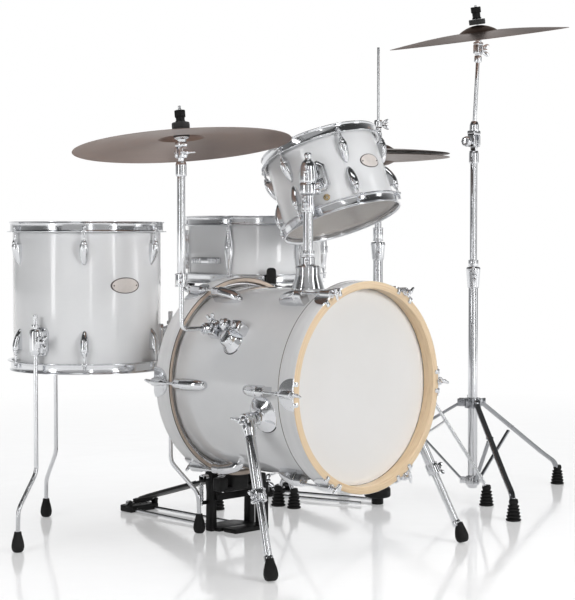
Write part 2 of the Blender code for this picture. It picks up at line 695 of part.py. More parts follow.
halong = unit(htoe - hheel)
hside = pf @ np.array([0, 1.0, 0])
hframe = np.stack([hside, halong, np.cross(hside, halong)], axis=1)
up_sign = 1 if hframe[2, 2] > 0 else -1
hlen = 226.0
hihat_side = [(28, 6), (40, 50), (43, 130), (38, 200), (26, hlen)]
hihat_outline = hihat_side + [(-x, y) for x, y in hihat_side[::-1]]
node(
    "hihat_board",
    moved(slab(hihat_outline, *((2, 8) if up_sign > 0 else (-8, -2))), hheel, hframe),
    moved(box((0, 5, 3.5 * up_sign), (54, 14, 11)), hheel, hframe),
    rod(hheel - hside * 49, hheel + hside * 49, 2.9, 8),
)
seat = [(7.5, 814), (22, 820), (22, 831), (13, 834), (13, 845.4), (6.2, 845.4), (6.2, 814)]
node(
    "hihat_tube",
    collar(HH + (0, 0, 506), HH + (0, 0, 826), 8.4, 4.6, 16),
    collar(HH + (0, 0, 660.5), HH + (0, 0, 694), 12.5, 8.0, 16),
    moved(rev(seat, 18, True), HH),
)
HB = HH + (0, 0, 846.0)
flipped = moved(cymbal(178, 41, 12, 10, 5.6, 1.3), (0, 0, 0), None, (1, 1, -1))
node("hihat_bottom", moved(flipped, HB))
node("hihat_top", moved(cymbal(178, 41, 16, 10, 5.6, 1.3), HH + (0, 0, 903.8)))
clutch = [(0, 905.0), (16, 905.5), (16, 912), (9, 913), (9, 930), (7.5, 932), (7.5, 942)]
clutch += [(10.5, 943), (10.5, 960), (0, 961)]
node(
    "hihat_rod",
    rod(HH + (0, 0, 500), HH + (0, 0, 1141), 3.2, 10),
    moved(rev(clutch, 14), HH),
    wing(HH + (8, -5, 951), (0.8, -0.6, 0), (0, 0, 1), 4.5, 24, 11),
    moved(rev([(0, 885.0), (9, 885.0), (9, 897.0), (4.9, 897.0), (4.9, 907), (0, 907)], 12), HH),
)

# ---------------------------------------------------------------- cymbal stand
node(
    "stand_base",
    sleeve(ST + (0, 0, 26), ST + (0, 0, 545), 12.2, 10.0, 260, 18),
    moved(rev([(13.0, 541), (14.5, 545), (18, 588), (16, 593), (11.0, 593), (11.0, 541)], 20, True), ST),
    wing(ST + (-12, -12, 572), (-0.7, -0.7, 0), (0, 0, 1), 6, 32, 15),
    moved(rev([(11.5, 34), (17.5, 34), (17.5, 56), (11.5, 56)], 12, True), ST),
)
node(
    "stand_tube",
    rod(ST + (0, 0, 330), ST + (0, 0, 872), 9.3, 14),
    collar(ST + (0, 0, 594.5), ST + (0, 0, 612), 13, 8.8, 14),
    box(ST + (0, 0, 880), (16, 16, 30)),
    box(ST + (0, 0, 905), (9, 18, 30)),
)
boom_dir = unit(BOOM_TOP - BOOM)
node(
    "stand_boom",
    box(BOOM + (9.4, 0, 5), (8, 20, 30)),
    box(BOOM + (-9.4, 0, 5), (8, 20, 30)),
    box(BOOM + (0, 0, 24), (26.8, 24, 12)),
    rod(BOOM + (0, 0, 24), BOOM_TOP, 5.1, 10),
    rod(BOOM + (0, 0, 24), BOOM + (0, 0, 24) + boom_dir * 26, 11, 12),
    wing(BOOM + (-13, 0, 0), (-1, -0.2, 0), (0, 0, 1), 7, 30, 16),
    rod(BOOM_TOP - boom_dir * 12, BOOM_TOP + boom_dir * 4, 9.8, 12),
    box(BOOM_TOP + boom_dir * 12, (8, 16, 18)),
)
STILT = BOOM_TOP + boom_dir * 18
STAND_N = unit((-0.1747, 0.004, 0.985))
SC = STILT + np.array([-4.0, 0.0, 64.0])
sframe = basis(STAND_N)
node(
    "stand_tilter",
    box(STILT + (8.0, 0, 2), (7, 15, 24)),
    box(STILT + (-8.0, 0, 2), (7, 15, 24)),
    box(STILT + (0, 0, 17), (23, 15, 9)),
    rod(STILT + (0, 0, 15), SC - STAND_N * 20, 8.0, 12),
    rod(SC - STAND_N * 25, SC - STAND_N * 4, 9.5, 12),
    rod(SC - STAND_N * 20, SC + STAND_N * 52, 3.0, 10),
    wing(STILT + (11, -2, 2), (1, -0.3, 0), (0, 0, 1), 6, 30, 14),
)
node("stand_cymbal", placed([cymbal(228.6, 48, 17, 17, 5.5)], SC, sframe))
stand_nut = [(11, 1.2), (20, 1.8), (21, 6), (21, 16), (17, 20), (13, 22), (12, 26)]
stand_nut += [(12.5, 42), (9, 46), (4.2, 46), (4.2, 1.2)]
node(
    "stand_nut",
    placed([rev(stand_nut, 10, True)], SC, sframe),
)
LEG_Z = 246.0
LEGS = {"a": -3.0, "b": -125.0, "c": 117.0}
clevis = [box((27, s * 9.5, LEG_Z), (18, 5, 20)) for s in (-1, 1)]
clevis.append(rod((30, -11, LEG_Z), (30, 11, LEG_Z), 2.6, 8))
node(
    "stand_collar",
    moved(rev([(14.6, 232), (21, 232), (21, 258), (14.6, 258)], 14, True), ST),
    [placed(clevis, ST, facing(a)) for a in LEGS.values()],
    wing(ST + polar(19, 57, 246), polar(1, 57), (0, 0, 1), 6, 30, 14),
)
REACH = 345.0
MIDR, MIDZ = 150.0, 172.0
for key, a in LEGS.items():
    frame = facing(a)
    leg_line = [(36, 0, LEG_Z - 3), (MIDR, 0, MIDZ), (REACH - 66, 0, 92), (REACH - 12, 0, 60), (REACH, 0, 40)]
    leg_eye = moved(rev([(3.0, -6), (8, -6), (8, 6), (3.0, 6)], 12, True), (30, 0, LEG_Z), basis((0, 1, 0)))
    leg = [path(leg_line, 7.2, 10), leg_eye, moved(big_foot, (REACH, 0, 0))]
    node(f"stand_leg_{key}", placed(leg, ST, frame))
    brace = [
        rod((30, 0, 50), (MIDR - 11, 0, MIDZ - 11.5), 4.6, 8),
        rod((24.0, -5, 45), (24.0, 5, 45), 5.2, 8),
        rod((24, 0, 45), (34, 0, 52), 4.6, 8),
    ]
    node(f"stand_brace_{key}", placed(brace, ST, frame))
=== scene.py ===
import math

import bmesh
import bpy
import numpy as np
from mathutils import Matrix, Vector


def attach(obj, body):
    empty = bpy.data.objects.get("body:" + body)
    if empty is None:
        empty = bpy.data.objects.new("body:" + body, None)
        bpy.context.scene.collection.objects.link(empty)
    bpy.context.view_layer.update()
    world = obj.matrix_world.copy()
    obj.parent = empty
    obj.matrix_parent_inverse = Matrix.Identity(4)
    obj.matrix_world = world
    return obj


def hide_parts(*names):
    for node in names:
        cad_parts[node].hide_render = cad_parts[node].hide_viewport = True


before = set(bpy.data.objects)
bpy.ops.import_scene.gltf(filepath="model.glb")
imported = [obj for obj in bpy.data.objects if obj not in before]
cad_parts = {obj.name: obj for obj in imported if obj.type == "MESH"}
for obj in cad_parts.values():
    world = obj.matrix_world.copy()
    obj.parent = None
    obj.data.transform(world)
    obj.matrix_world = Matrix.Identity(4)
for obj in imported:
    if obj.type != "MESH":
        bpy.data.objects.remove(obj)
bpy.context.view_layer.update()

# Lengths are in millimetres about the bass drum's centre on the floor, as in the CAD source.
# SHIFT moves them to the row frame, and piece() turns them into metres.
SHIFT = np.array([-318.21, -216.07, 0.0])

# ---------------------------------------------------------------- where the parts stand
DRUM_MID, DRUM_R = 357.0, 203.0
DRUM_FRONT, DRUM_REAR = -179.8, 185.8
HOOP_FRONT, HOOP_REAR = -209.0, 215.0
BASS_NUT_FRONT, BASS_NUT_REAR = -126.5, 146.5
BASS_ROD_R = DRUM_R + 25
SPUR_TOP = {"left": (-240.0, -95.0, 300.0), "right": (240.0, -95.0, 300.0)}
SPUR_FOOT = {"left": (-305.0, -231.0, 10.0), "right": (272.0, -240.0, 10.0)}
POST = np.array([0.0, -30.0, 0.0])
EGG = POST + (0, 0, 812.0)
CRASH = np.array([-261.0, 83.9, 0.0])
CRASH_CENTRE = CRASH + (1.0, 1.0, 893.0)
FLOOR_TOM = np.array([-241.0, 430.0, 0.0])
SNARE = np.array([277.0, 429.0, 0.0])
HIHAT = np.array([518.0, 235.0, 0.0])
STAND = np.array([769.0, 133.0, 0.0])
PEDAL = np.array([36.0, 256.0, 0.0])
AXLE = PEDAL + (0, 0, 126.0)
TOM = np.array([148.0, 45.0, 790.0])
BASS_LUG_ANGLES = [0, 60, 120, 180, 240, 300]
KEY_ROD_R = 2.7
SNARE_NUT_DROP = 22
# Turns a flat plate to stand upright and face +X.
ON_SIDE = np.array([[0, 0, 1], [1, 0, 0], [0, 1, 0]], float)


# ---------------------------------------------------------------- shape helpers
def unit(v):
    """The vector at length 1."""
    v = np.array(v, float)
    return v / np.linalg.norm(v)


def basis(axis, hint=(1.0, 0, 0)):
    """Columns x, y, z of a frame whose z is the axis, and whose x is near the hint."""
    z = unit(axis)
    h = np.array(hint, float)
    if abs(np.dot(unit(h), z)) > 0.95:
        h = np.array([0, 1.0, 0]) if abs(z[1]) < 0.9 else np.array([0, 0, 1.0])
    x = unit(h - z * np.dot(h, z))
    return np.stack([x, np.cross(z, x), z], axis=1)


def polar(r, degrees, z=0.0):
    a = math.radians(degrees)
    return np.array([r * math.cos(a), r * math.sin(a), z])


def facing(degrees):
    """Frame with x outward at this angle, y along the circle, z up."""
    return basis((0, 0, 1), polar(1, degrees))


def is_shape(item):
    return isinstance(item, tuple) and isinstance(item[0], np.ndarray) and isinstance(item[1], list)


def flat(shapes):
    """One list of the (points, faces) shapes in nested lists."""
    if is_shape(shapes):
        return [shapes]
    return [shape for item in shapes for shape in flat(item)]


def placed(shapes, at=(0, 0, 0), turn=None, scale=(1, 1, 1)):
    """The shapes scaled, turned and moved, as one flat list."""
    turn = np.eye(3) if turn is None else turn
    return [((p * np.array(scale, float)) @ turn.T + np.array(at, float), f) for p, f in flat(shapes)]


def soften(outline, reach=1.0, ring=False, steps=2):
    """Rounds the corners of an outline or profile, each by up to reach."""
    points = [np.array(v, float) for v in outline]
    out = []
    for i, v in enumerate(points):
        if not ring and i in (0, len(points) - 1):
            out.append(v)
            continue
        a, b = points[i - 1] - v, points[(i + 1) % len(points)] - v
        near = min(reach, 0.45 * np.linalg.norm(a), 0.45 * np.linalg.norm(b))
        start, end = v + unit(a) * near, v + unit(b) * near
        for k in range(steps + 1):
            t = k / steps
            out.append((1 - t) ** 2 * start + 2 * t * (1 - t) * v + t * t * end)
    return out


def smooth(keys, steps=4):
    """A Catmull-Rom curve through rows of numbers."""
    k = np.array(keys, float)
    k = np.concatenate([k[:1] * 2 - k[1:2], k, k[-1:] * 2 - k[-2:-1]])
    out = []
    for i in range(1, len(k) - 2):
        for j in range(steps):
            t = j / steps
            a, b, c, d = k[i - 1], k[i], k[i + 1], k[i + 2]
            bend, twist = 2 * a - 5 * b + 4 * c - d, 3 * b - a - 3 * c + d
            out.append(0.5 * (2 * b + (c - a) * t + bend * t**2 + twist * t**3))
    return np.array(out + [k[-2]])


def rev(profile, n=48, ring=False):
    """Revolves (r, z) points about Z: a closed ring, or a solid whose ends lie on the axis."""
    turns = np.arange(n) * 2 * math.pi / n
    compass = np.stack([np.cos(turns), np.sin(turns)], axis=1)
    points, faces, rows, count = [], [], [], 0
    for r, z in profile:
        if r < 1e-6 and not ring:
            rows.append([count] * n)
            points.append([[0, 0, z]])
            count += 1
        else:
            rows.append(list(range(count, count + n)))
            points.append(np.column_stack([compass * r, np.full(n, z)]))
            count += n
    for low, high in list(zip(rows, rows[1:])) + ([(rows[-1], rows[0])] if ring else []):
        for i in range(n):
            face = list(dict.fromkeys((low[i], low[(i + 1) % n], high[(i + 1) % n], high[i])))
            if len(face) > 2:
                faces.append(face)
    return np.concatenate(points).astype(float), faces


def lipped(profile, edge, way, n, r=0.0):
    """A ring about Z from points given as radius beyond r and distance past an edge."""
    return rev([(r + a, edge + way * b) for a, b in profile], n, True)


def turned(profile, at=(0, 0, 0), axis=(0, 0, 1), n=40, reach=0.8, ring=False):
    """A lathe part with softened corners, its z along the axis."""
    return placed(rev(soften(profile, reach, ring), n, ring), at, basis(axis))


def rod(p, q, r, r2=None, n=24, edge=0.7):
    """A round bar from p to q, with radius r, or r to r2."""
    p, q = np.array(p, float), np.array(q, float)
    length = np.linalg.norm(q - p)
    return turned([(0, 0), (r, 0), (r if r2 is None else r2, length), (0, length)], p, q - p, n, edge)


def collar(p, q, ro, ri, n=36, edge=0.9):
    """A tube from p to q, with outer and inner radius."""
    p, q = np.array(p, float), np.array(q, float)
    length = np.linalg.norm(q - p)
    return turned([(ro, 0), (ro, length), (ri, length), (ri, 0)], p, q - p, n, edge, True)


def sleeve(at, low, high, ro, ri):
    """An upright tube between two heights over at."""
    return collar(at + (0, 0, low), at + (0, 0, high), ro, ri)


def upright(at, low, high, r, n):
    """An upright rod between two heights over at."""
    return rod(at + (0, 0, low), at + (0, 0, high), r, n=n)


def hollow(profile, at, n, reach):
    """A lathe part with a hole, upright over at."""
    return turned(profile, at, n=n, reach=reach, ring=True)


def around(shapes, angle, at=(0, 0, 0)):
    """Shapes drawn along +X, turned to this angle about Z and put at a place."""
    return placed(shapes, at, facing(angle))


def loft(rings):
    """Joins rings of equal count into a skin, with a cap at each end."""
    k, m = len(rings), len(rings[0])
    faces = []
    for i in range(k - 1):
        low, high = i * m, (i + 1) * m
        faces += [[low + j, low + (j + 1) % m, high + (j + 1) % m, high + j] for j in range(m)]
    faces += [list(range(m))[::-1], [(k - 1) * m + j for j in range(m)]]
    return np.concatenate([np.array(r, float) for r in rings]), faces


def circle(r, n):
    return [(r * math.cos(2 * math.pi * i / n), r * math.sin(2 * math.pi * i / n)) for i in range(n)]


def rounded_box_outline(width, height, radius):
    x, y = width / 2, height / 2
    return soften([(-x, -y), (x, -y), (x, y), (-x, y)], radius, True, 4)


def sweep(points, section, across=(1.0, 0, 0)):
    """Carries a flat section along a line, its first axis starting near across."""
    points = [np.array(p, float) for p in points]
    last = len(points) - 1
    rings, x = [], None
    for i, p in enumerate(points):
        tangent = unit(points[min(i + 1, last)] - points[max(i - 1, 0)])
        x = basis(tangent, across)[:, 0] if x is None else unit(x - tangent * np.dot(x, tangent))
        y = np.cross(tangent, x)
        rings.append([p + u * x + v * y for u, v in section])
    return loft(rings)


def tube_path(points, r, corner=10.0, n=18):
    """A bent round rod through the points, with rounded corners."""
    return sweep(soften(points, corner, steps=6), circle(r, n))


def inset(outline, d):
    """The outline drawn in by d."""
    p = np.array(outline, float)
    along = np.roll(p, -1, 0) - np.roll(p, 1, 0)
    inward = np.stack([-along[:, 1], along[:, 0]], axis=1)
    return p + inward / np.linalg.norm(inward, axis=1)[:, None] * d


def plate(outline, z0, z1, edge):
    """A flat plate with the given (x, y) outline and rounded edges."""
    p = np.array(outline, float)
    if np.sum(p[:, 0] * np.roll(p[:, 1], -1) - p[:, 1] * np.roll(p[:, 0], -1)) < 0:
        p = p[::-1]
    edge = min(edge, (z1 - z0) / 2.1)
    rings, steps = [], 2
    for side, z in ((1, z0), (-1, z1)):
        stops = range(steps + 1) if side > 0 else range(steps, -1, -1)
        for k in stops:
            a = k / steps * math.pi / 2
            ring = inset(p, edge * (1 - math.sin(a)))
            rings.append(np.column_stack([ring, np.full(len(ring), z + side * edge * (1 - math.cos(a)))]))
    return loft(rings)


def block(centre, size, turn, edge, corner=None):
    """A rounded box."""
    outline = rounded_box_outline(size[0], size[1], edge if corner is None else corner)
    return placed(plate(outline, -size[2] / 2, size[2] / 2, edge), centre, turn)


def cheeks(outline, reach, half, edge, at, apart, turn=None):
    """A pair of upright plates, one on each side of a hinge at a place."""
    shape = plate(soften(outline, reach, True, 4), -half, half, edge)
    turn = ON_SIDE if turn is None else turn
    return [placed(shape, at + s * np.array(apart, float), turn) for s in (-1, 1)]


def wing(at, axis, across, r=6.0, span=34.0, length=13.0, thick=4.4):
    """A wing bolt: a turned boss along the axis and two rounded lobes across it."""
    turn = basis(axis, across)
    boss = [(0, -2), (r, -2), (r, length * 0.3), (r * 0.82, length * 0.5), (r * 0.82, length + 1),
            (0, length + 2.5)]
    flip = turn @ np.array([[1, 0, 0], [0, 0, -1], [0, 1, 0]])
    parts = [placed(rev(soften(boss, 1.2)), at, turn)]
    half = span / 2
    for s in (-1, 1):
        lobe = [(s * r * 0.3, 1.5), (s * half * 0.72, length * 0.3), (s * (half + 1.5), length + 1.5),
                (s * (half + 0.5), length + 9), (s * (half - 7), length + 8.5),
                (s * r * 0.3, length * 0.85)]
        parts.append(placed(plate(soften(lobe, 3.6, True, 4), -thick / 2, thick / 2, 1.6), at, flip))
    return parts


def coil(p, q, r, wire, turns):
    """A helical spring from p to q."""
    p, q = np.array(p, float), np.array(q, float)
    turn = basis(q - p)
    steps = int(turns * 16)
    line = []
    for i in range(steps + 1):
        a = 2 * math.pi * turns * i / steps
        line.append(p + (q - p) * i / steps + turn @ np.array([r * math.cos(a), r * math.sin(a), 0]))
    return sweep(line, circle(wire, 8))


def casing(keys, at, along, out):
    """A cast lug: rows of (place along, half width, height) with a domed section."""
    side = np.cross(out, along)
    arc = [math.pi * i / 10 for i in range(11)]
    rings = []
    for s, w, h in smooth(keys):
        w, h = max(w, 0.3), max(h, 0.4)
        ring = [(0.86 * w, -3.0)]
        ring += [(w * math.cos(a), max(h - w, 0) + min(w, h) * math.sin(a)) for a in arc]
        ring += [(-0.86 * w, -3.0)]
        rings.append([np.array(at, float) + along * s + side * u + out * v for u, v in ring])
    return loft(rings)


# ---------------------------------------------------------------- material helpers
def shader_node(tree, kind, inputs=None, **settings):
    """A node with its inputs linked or set, and its settings."""
    made = tree.nodes.new(kind)
    for key, value in settings.items():
        setattr(made, key, value)
    for key, value in (inputs or {}).items():
        if isinstance(value, bpy.types.NodeSocket):
            tree.links.new(value, made.inputs[key])
        else:
            made.inputs[key].default_value = value
    return made


def blank(name, colour, roughness, metallic=0.0, **sockets):
    """A material and its Principled shader, with uniform values on the shader's own sockets."""
    made = bpy.data.materials.new(name)
    made.use_nodes = True
    shader = made.node_tree.nodes["Principled BSDF"]
    shader.inputs["Base Color"].default_value = (*colour, 1)
    shader.inputs["Roughness"].default_value = roughness
    shader.inputs["Metallic"].default_value = metallic
    for key, value in sockets.items():
        shader.inputs[key.replace("_", " ")].default_value = value
    return made


def place(material, stretch=(1, 1, 1)):
    """Object coordinates in metres, stretched."""
    tree = material.node_tree
    coordinates = shader_node(tree, "ShaderNodeTexCoord")
    return shader_node(tree, "ShaderNodeMapping",
                       {"Vector": coordinates.outputs["Object"], "Scale": stretch}).outputs[0]


def noise(material, vector, scale, detail=3.0, rough=0.5):
    """A noise's values, from 0 to 1."""
    inputs = {"Vector": vector, "Scale": scale, "Detail": detail, "Roughness": rough}
    return shader_node(material.node_tree, "ShaderNodeTexNoise", inputs).outputs["Fac"]


def tint(material, factor, *stops):
    """Colours the base by a ramp of (place, colour) stops."""
    tree = material.node_tree
    ramp = shader_node(tree, "ShaderNodeValToRGB", {"Fac": factor})
    while len(ramp.color_ramp.elements) < len(stops):
        ramp.color_ramp.elements.new(0.5)
    for element, (at, colour) in zip(ramp.color_ramp.elements, stops):
        element.position = at
        element.color = (*colour, 1)
    tree.links.new(ramp.outputs["Color"], tree.nodes["Principled BSDF"].inputs["Base Color"])


def grade(material, factor, low, high):
    """Drifts the roughness between low and high."""
    tree = material.node_tree
    inputs = {"Value": factor, "From Min": 0.3, "From Max": 0.7, "To Min": low, "To Max": high}
    made = shader_node(tree, "ShaderNodeMapRange", inputs)
    tree.links.new(made.outputs[0], tree.nodes["Principled BSDF"].inputs["Roughness"])


def emboss(material, height, distance, strength):
    """Relief by a bump node."""
    tree = material.node_tree
    made = shader_node(tree, "ShaderNodeBump",
                       {"Height": height, "Distance": distance, "Strength": strength})
    tree.links.new(made.outputs[0], tree.nodes["Principled BSDF"].inputs["Normal"])


def arithmetic(material, operation, *values):
    """A maths node's result."""
    inputs = dict(enumerate(values))
    return shader_node(material.node_tree, "ShaderNodeMath", inputs, operation=operation).outputs[0]


def worked(made, tone, gloss, relief=None, stretch=(1, 1, 1)):
    """Drifts the colour and the roughness, and adds fine relief, each by a noise of its own.

    tone is (noise, dark, light), gloss is (noise, low, high) and relief is (noise, depth, strength),
    where a noise is a tuple of its scale, detail and roughness.
    """
    spot = place(made, stretch)
    tint(made, noise(made, spot, *tone[0]), (0.3, tone[1]), (0.7, tone[2]))
    grade(made, noise(made, spot, *gloss[0]), *gloss[1:])
    if relief:
        emboss(made, noise(made, spot, *relief[0]), *relief[1:])
    return made


def white_wrap():
    """Glossy white covering with a faint pearly drift."""
    made = blank("white_wrap", (0.86, 0.865, 0.875), 0.12, Coat_Weight=0.7, Coat_Roughness=0.03)
    tone = (7, 4), (0.80, 0.81, 0.825), (0.87, 0.875, 0.885)
    return worked(made, tone, ((30,), 0.10, 0.17), ((420, 2), 0.00004, 0.5))


def white_lacquer():
    """The bass hoops' outside."""
    made = blank("white_lacquer", (0.86, 0.865, 0.87), 0.2, Coat_Weight=0.5, Coat_Roughness=0.05)
    tone = (12, 5), (0.80, 0.80, 0.81), (0.88, 0.88, 0.885)
    return worked(made, tone, ((60,), 0.16, 0.26), ((300, 3), 0.00006, 0.5), (1, 1, 6))


def maple(name="maple", light=(0.82, 0.63, 0.41), dark=(0.70, 0.49, 0.28)):
    """Wood whose grain runs round the drum's own axis, which is the object's Z."""
    made = blank(name, light, 0.34, Coat_Weight=0.35, Coat_Roughness=0.12)
    tree = made.node_tree
    split = shader_node(tree, "ShaderNodeSeparateXYZ", {"Vector": place(made)})
    x, y, z = split.outputs
    angle = arithmetic(made, "ARCTAN2", y, x)
    across = arithmetic(made, "SQRT", arithmetic(made, "ADD", arithmetic(made, "MULTIPLY", x, x),
                                                 arithmetic(made, "MULTIPLY", y, y)))
    ring = arithmetic(made, "MULTIPLY", across, 340.0)
    depth = arithmetic(made, "MULTIPLY", z, 260.0)
    half_angle = arithmetic(made, "MULTIPLY", angle, 0.5)
    turn = arithmetic(made, "MULTIPLY", arithmetic(made, "SINE", half_angle), 9.0)
    grain_space = shader_node(tree, "ShaderNodeCombineXYZ", {"X": turn, "Y": ring, "Z": depth}).outputs[0]
    grain = noise(made, grain_space, 1.0, 7, 0.62)
    tint(made, grain, (0.30, dark), (0.50, light), (0.72, tuple(min(1, c * 1.07) for c in light)))
    grade(made, grain, 0.28, 0.42)
    emboss(made, grain, 0.00012, 0.45)
    return made


def coated_film():
    """Sprayed drum head with a fine tooth."""
    made = blank("coated_film", (0.86, 0.85, 0.83), 0.5)
    tone = (5, 5), (0.82, 0.81, 0.795), (0.86, 0.85, 0.84)
    return worked(made, tone, ((90,), 0.42, 0.6), ((1500, 2), 0.00008, 0.6))


def clear_film():
    """Thin clear head, a little milky."""
    made = blank("clear_film", (0.95, 0.92, 0.88), 0.12, Alpha=0.36)
    return worked(made, ((6, 4), (0.92, 0.88, 0.84), (0.97, 0.94, 0.91)), ((40,), 0.10, 0.18))


def chrome(name="chrome", colour=(0.76, 0.77, 0.79), low=0.11, high=0.17):
    """Bright plating with a faint haze and dust."""
    made = blank(name, colour, low, 1.0)
    tone = (22, 5), tuple(c * 0.95 for c in colour), colour
    return worked(made, tone, ((35, 2), low, high), ((30, 1), 0.000002, 0.1))


def cymbal_bronze(name, level):
    """Lathed bronze: rings round the object's own axis, with a drifting tone; level scales the whole colour,
    below 1 as painted shade and above 1 as painted light.
    """
    made = blank(name, (0.3, 0.2, 0.16), 0.34, 1.0, Anisotropic=0.7)
    tree = made.node_tree
    spot = place(made)
    split = shader_node(tree, "ShaderNodeSeparateXYZ", {"Vector": spot})
    x, y = split.outputs[0], split.outputs[1]
    across = arithmetic(made, "SQRT", arithmetic(made, "ADD", arithmetic(made, "MULTIPLY", x, x),
                                                 arithmetic(made, "MULTIPLY", y, y)))
    rings = shader_node(tree, "ShaderNodeCombineXYZ", {"X": across}).outputs[0]
    broad = noise(made, rings, 90.0, 6, 0.7)
    drift = noise(made, spot, 6.0, 3)
    tone = arithmetic(made, "ADD", arithmetic(made, "MULTIPLY", broad, 0.65),
                      arithmetic(made, "MULTIPLY", drift, 0.35))
    # level darkens or lightens every stop alike: painted shade for the hi-hat, painted light for the stand
    # cymbal.
    worn, middle, bright = np.array([(0.17, 0.11, 0.085), (0.27, 0.185, 0.15), (0.40, 0.30, 0.25)]) * level
    tint(made, tone, (0.32, worn), (0.5, middle), (0.7, bright))
    radial = shader_node(tree, "ShaderNodeTangent", direction_type="RADIAL", axis="Z")
    tree.links.new(radial.outputs[0], tree.nodes["Principled BSDF"].inputs["Tangent"])
    grade(made, broad, 0.26, 0.40)
    emboss(made, noise(made, rings, 700.0, 2), 0.0002, 0.5)
    return made


def black_finish(name, tone, low, high, grain, depth, **sockets):
    """A dark coat, rubber or felt: its grain is the relief's noise scale, its depth in metres."""
    made = blank(name, (tone,) * 3, low, **sockets)
    drift = (18, 4), (tone * 0.7,) * 3, (tone * 1.5,) * 3
    return worked(made, drift, ((70,), low, high), ((grain, 4, 0.6), depth, 0.8))


def plain_finish(name, colour, low, high, metallic=0.0):
    """A small part in one colour, its roughness between low and high."""
    made = blank(name, colour, low, metallic)
    tone = (40, 4), tuple(c * 0.85 for c in colour), colour
    return worked(made, tone, ((120,), low, high), ((800, 2), 0.00003, 0.4))


FINISH = {"white": (white_wrap(), "shell_white"), "lacquer": (white_lacquer(), "hoop_wood"),
          "maple": (maple(), "hoop_wood"),
          "shaded_maple": (maple("shaded_maple", (0.68, 0.56, 0.46), (0.40, 0.29, 0.22)), "hoop_wood"),
          # A near-black ring that stands in for the shadow in the gap between hoop and shell: painted shade.
          "hoop_shade_line": (plain_finish("hoop_shade_line", (0.10, 0.085, 0.075), 0.4, 0.55), "hoop_wood"),
          "inner_ply": (maple("inner_ply", (0.66, 0.58, 0.50), (0.56, 0.48, 0.40)), "hoop_wood"),
          "coated": (coated_film(), "head_coated"), "clear": (clear_film(), "head_clear"),
          "chrome": (chrome(), "chrome"),
          "steel": (chrome("worn_steel", (0.62, 0.62, 0.63), 0.18, 0.32), "chrome"),
          "bronze": (cymbal_bronze("cymbal_bronze", 1.0), "bronze"),
          # The hi-hat's and the stand's cymbals: the same bronze, with painted shade and with painted light.
          "shaded_bronze": (cymbal_bronze("hihat_shaded_bronze", 0.5), "bronze"),
          "lit_bronze": (cymbal_bronze("stand_lit_bronze", 1.35), "bronze"),
          # The cymbal stand's collar, legs and braces: chrome at a darker colour, with the same roughness as
          # the rest.
          "darker_chrome": (chrome("stand_darker_chrome", (0.40, 0.41, 0.43)), "chrome"),
          "black": (black_finish("black_paint", 0.006, 0.38, 0.52, 300, 0.00006, Specular_IOR_Level=0.22),
                    "black_metal"), "rubber": (black_finish("black_rubber", 0.008, 0.50, 0.68, 500, 0.0001,
                                                            Specular_IOR_Level=0.25), None),
          "felt": (black_finish("black_felt", 0.012, 0.85, 0.98, 900, 0.0005, Sheen_Weight=0.25,
                                Sheen_Roughness=0.6), "felt"),
          "nylon": (plain_finish("grey_nylon", (0.52, 0.53, 0.54), 0.35, 0.5), None),
          "badge": (plain_finish("badge_face", (0.80, 0.74, 0.70), 0.25, 0.4), None),
          "badge_rim": (plain_finish("badge_rim", (0.10, 0.08, 0.08), 0.25, 0.4), None),
          "brass": (plain_finish("vent_brass", (0.62, 0.48, 0.28), 0.18, 0.3, 1.0), None), }


def piece(name, body, finish, *shapes, replaces=(), centre=(0, 0, 0), turn=None, crease=38):
    """One named object: its origin at centre, its local axes the columns of turn."""
    parts = flat(shapes)
    points, faces, start = [], [], 0
    for p, f in parts:
        points.append(p)
        faces += [[start + i for i in face] for face in f]
        start += len(p)
    turn = np.eye(3) if turn is None else turn
    centre = np.array(centre, float)
    local = (np.concatenate(points) - centre) @ turn / 1000
    mesh = bpy.data.meshes.new(name)
    mesh.from_pydata(local.tolist(), [], faces)
    work = bmesh.new()
    work.from_mesh(mesh)
    bmesh.ops.recalc_face_normals(work, faces=work.faces)
    work.to_mesh(mesh)
    work.free()
    mesh.shade_smooth()
    mesh.set_sharp_from_angle(angle=math.radians(crease))
    material, slot = FINISH[finish]
    mesh.materials.append(material)
    made = bpy.data.objects.new(name, mesh)
    bpy.context.scene.collection.objects.link(made)
    made.matrix_world = Matrix.Translation(Vector((centre + SHIFT) / 1000)) @ Matrix(turn.tolist()).to_4x4()
    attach(made, body)
    if replaces:
        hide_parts(*replaces)


# ---------------------------------------------------------------- shared drum parts
def tension_screw(at, up, low, high):
    """A key rod with its washer and square head, above high, on an axis through at."""
    at = np.array(at, float)
    parts = [rod(at + up * low, at + up * high, KEY_ROD_R, n=14)]
    parts.append(rod(at + up * (high - 0.3), at + up * (high + 1.8), 5.6, n=20))
    parts.append(rod(at + up * (high + 1.8), at + up * (high + 3.6), 4.2, n=18))
    parts += block(at + up * (high + 7.5), (5.6, 5.6, 8), basis(up), 0.7)
    return parts


def flanged_hoop(r, edge, up, angles, lug_end):
    """A triple-flanged steel hoop about Z over a shell edge, with its ears and key rods."""
    profile = [(3.4, -11), (8.6, -11.6), (13.2, -10.6), (13.2, -8.9), (8.6, -9.2), (5.6, -7.2), (5.4, 7.6),
               (8.4, 10.6), (8.0, 12.2), (5.6, 11.6), (3.6, 8.6)]
    parts = [lipped(soften(profile, 1.1, True), edge, up, 160, r)]
    axis = np.array([0, 0, float(up)])
    for a in angles:
        outline = soften([(8, -11), (14.5, -8.5), (18.4, 0), (14.5, 8.5), (8, 11)], 4, True, 3)
        low, high = sorted((edge + up * -11.8, edge + up * -8.6))
        parts += around(plate([(r + x, y) for x, y in outline], low, high, 0.8), a)
        stem = polar(r + 11.0, a, edge)
        parts += tension_screw(stem, axis, abs(lug_end - edge) * -1.0 + 0.5, -8.6)
    return parts


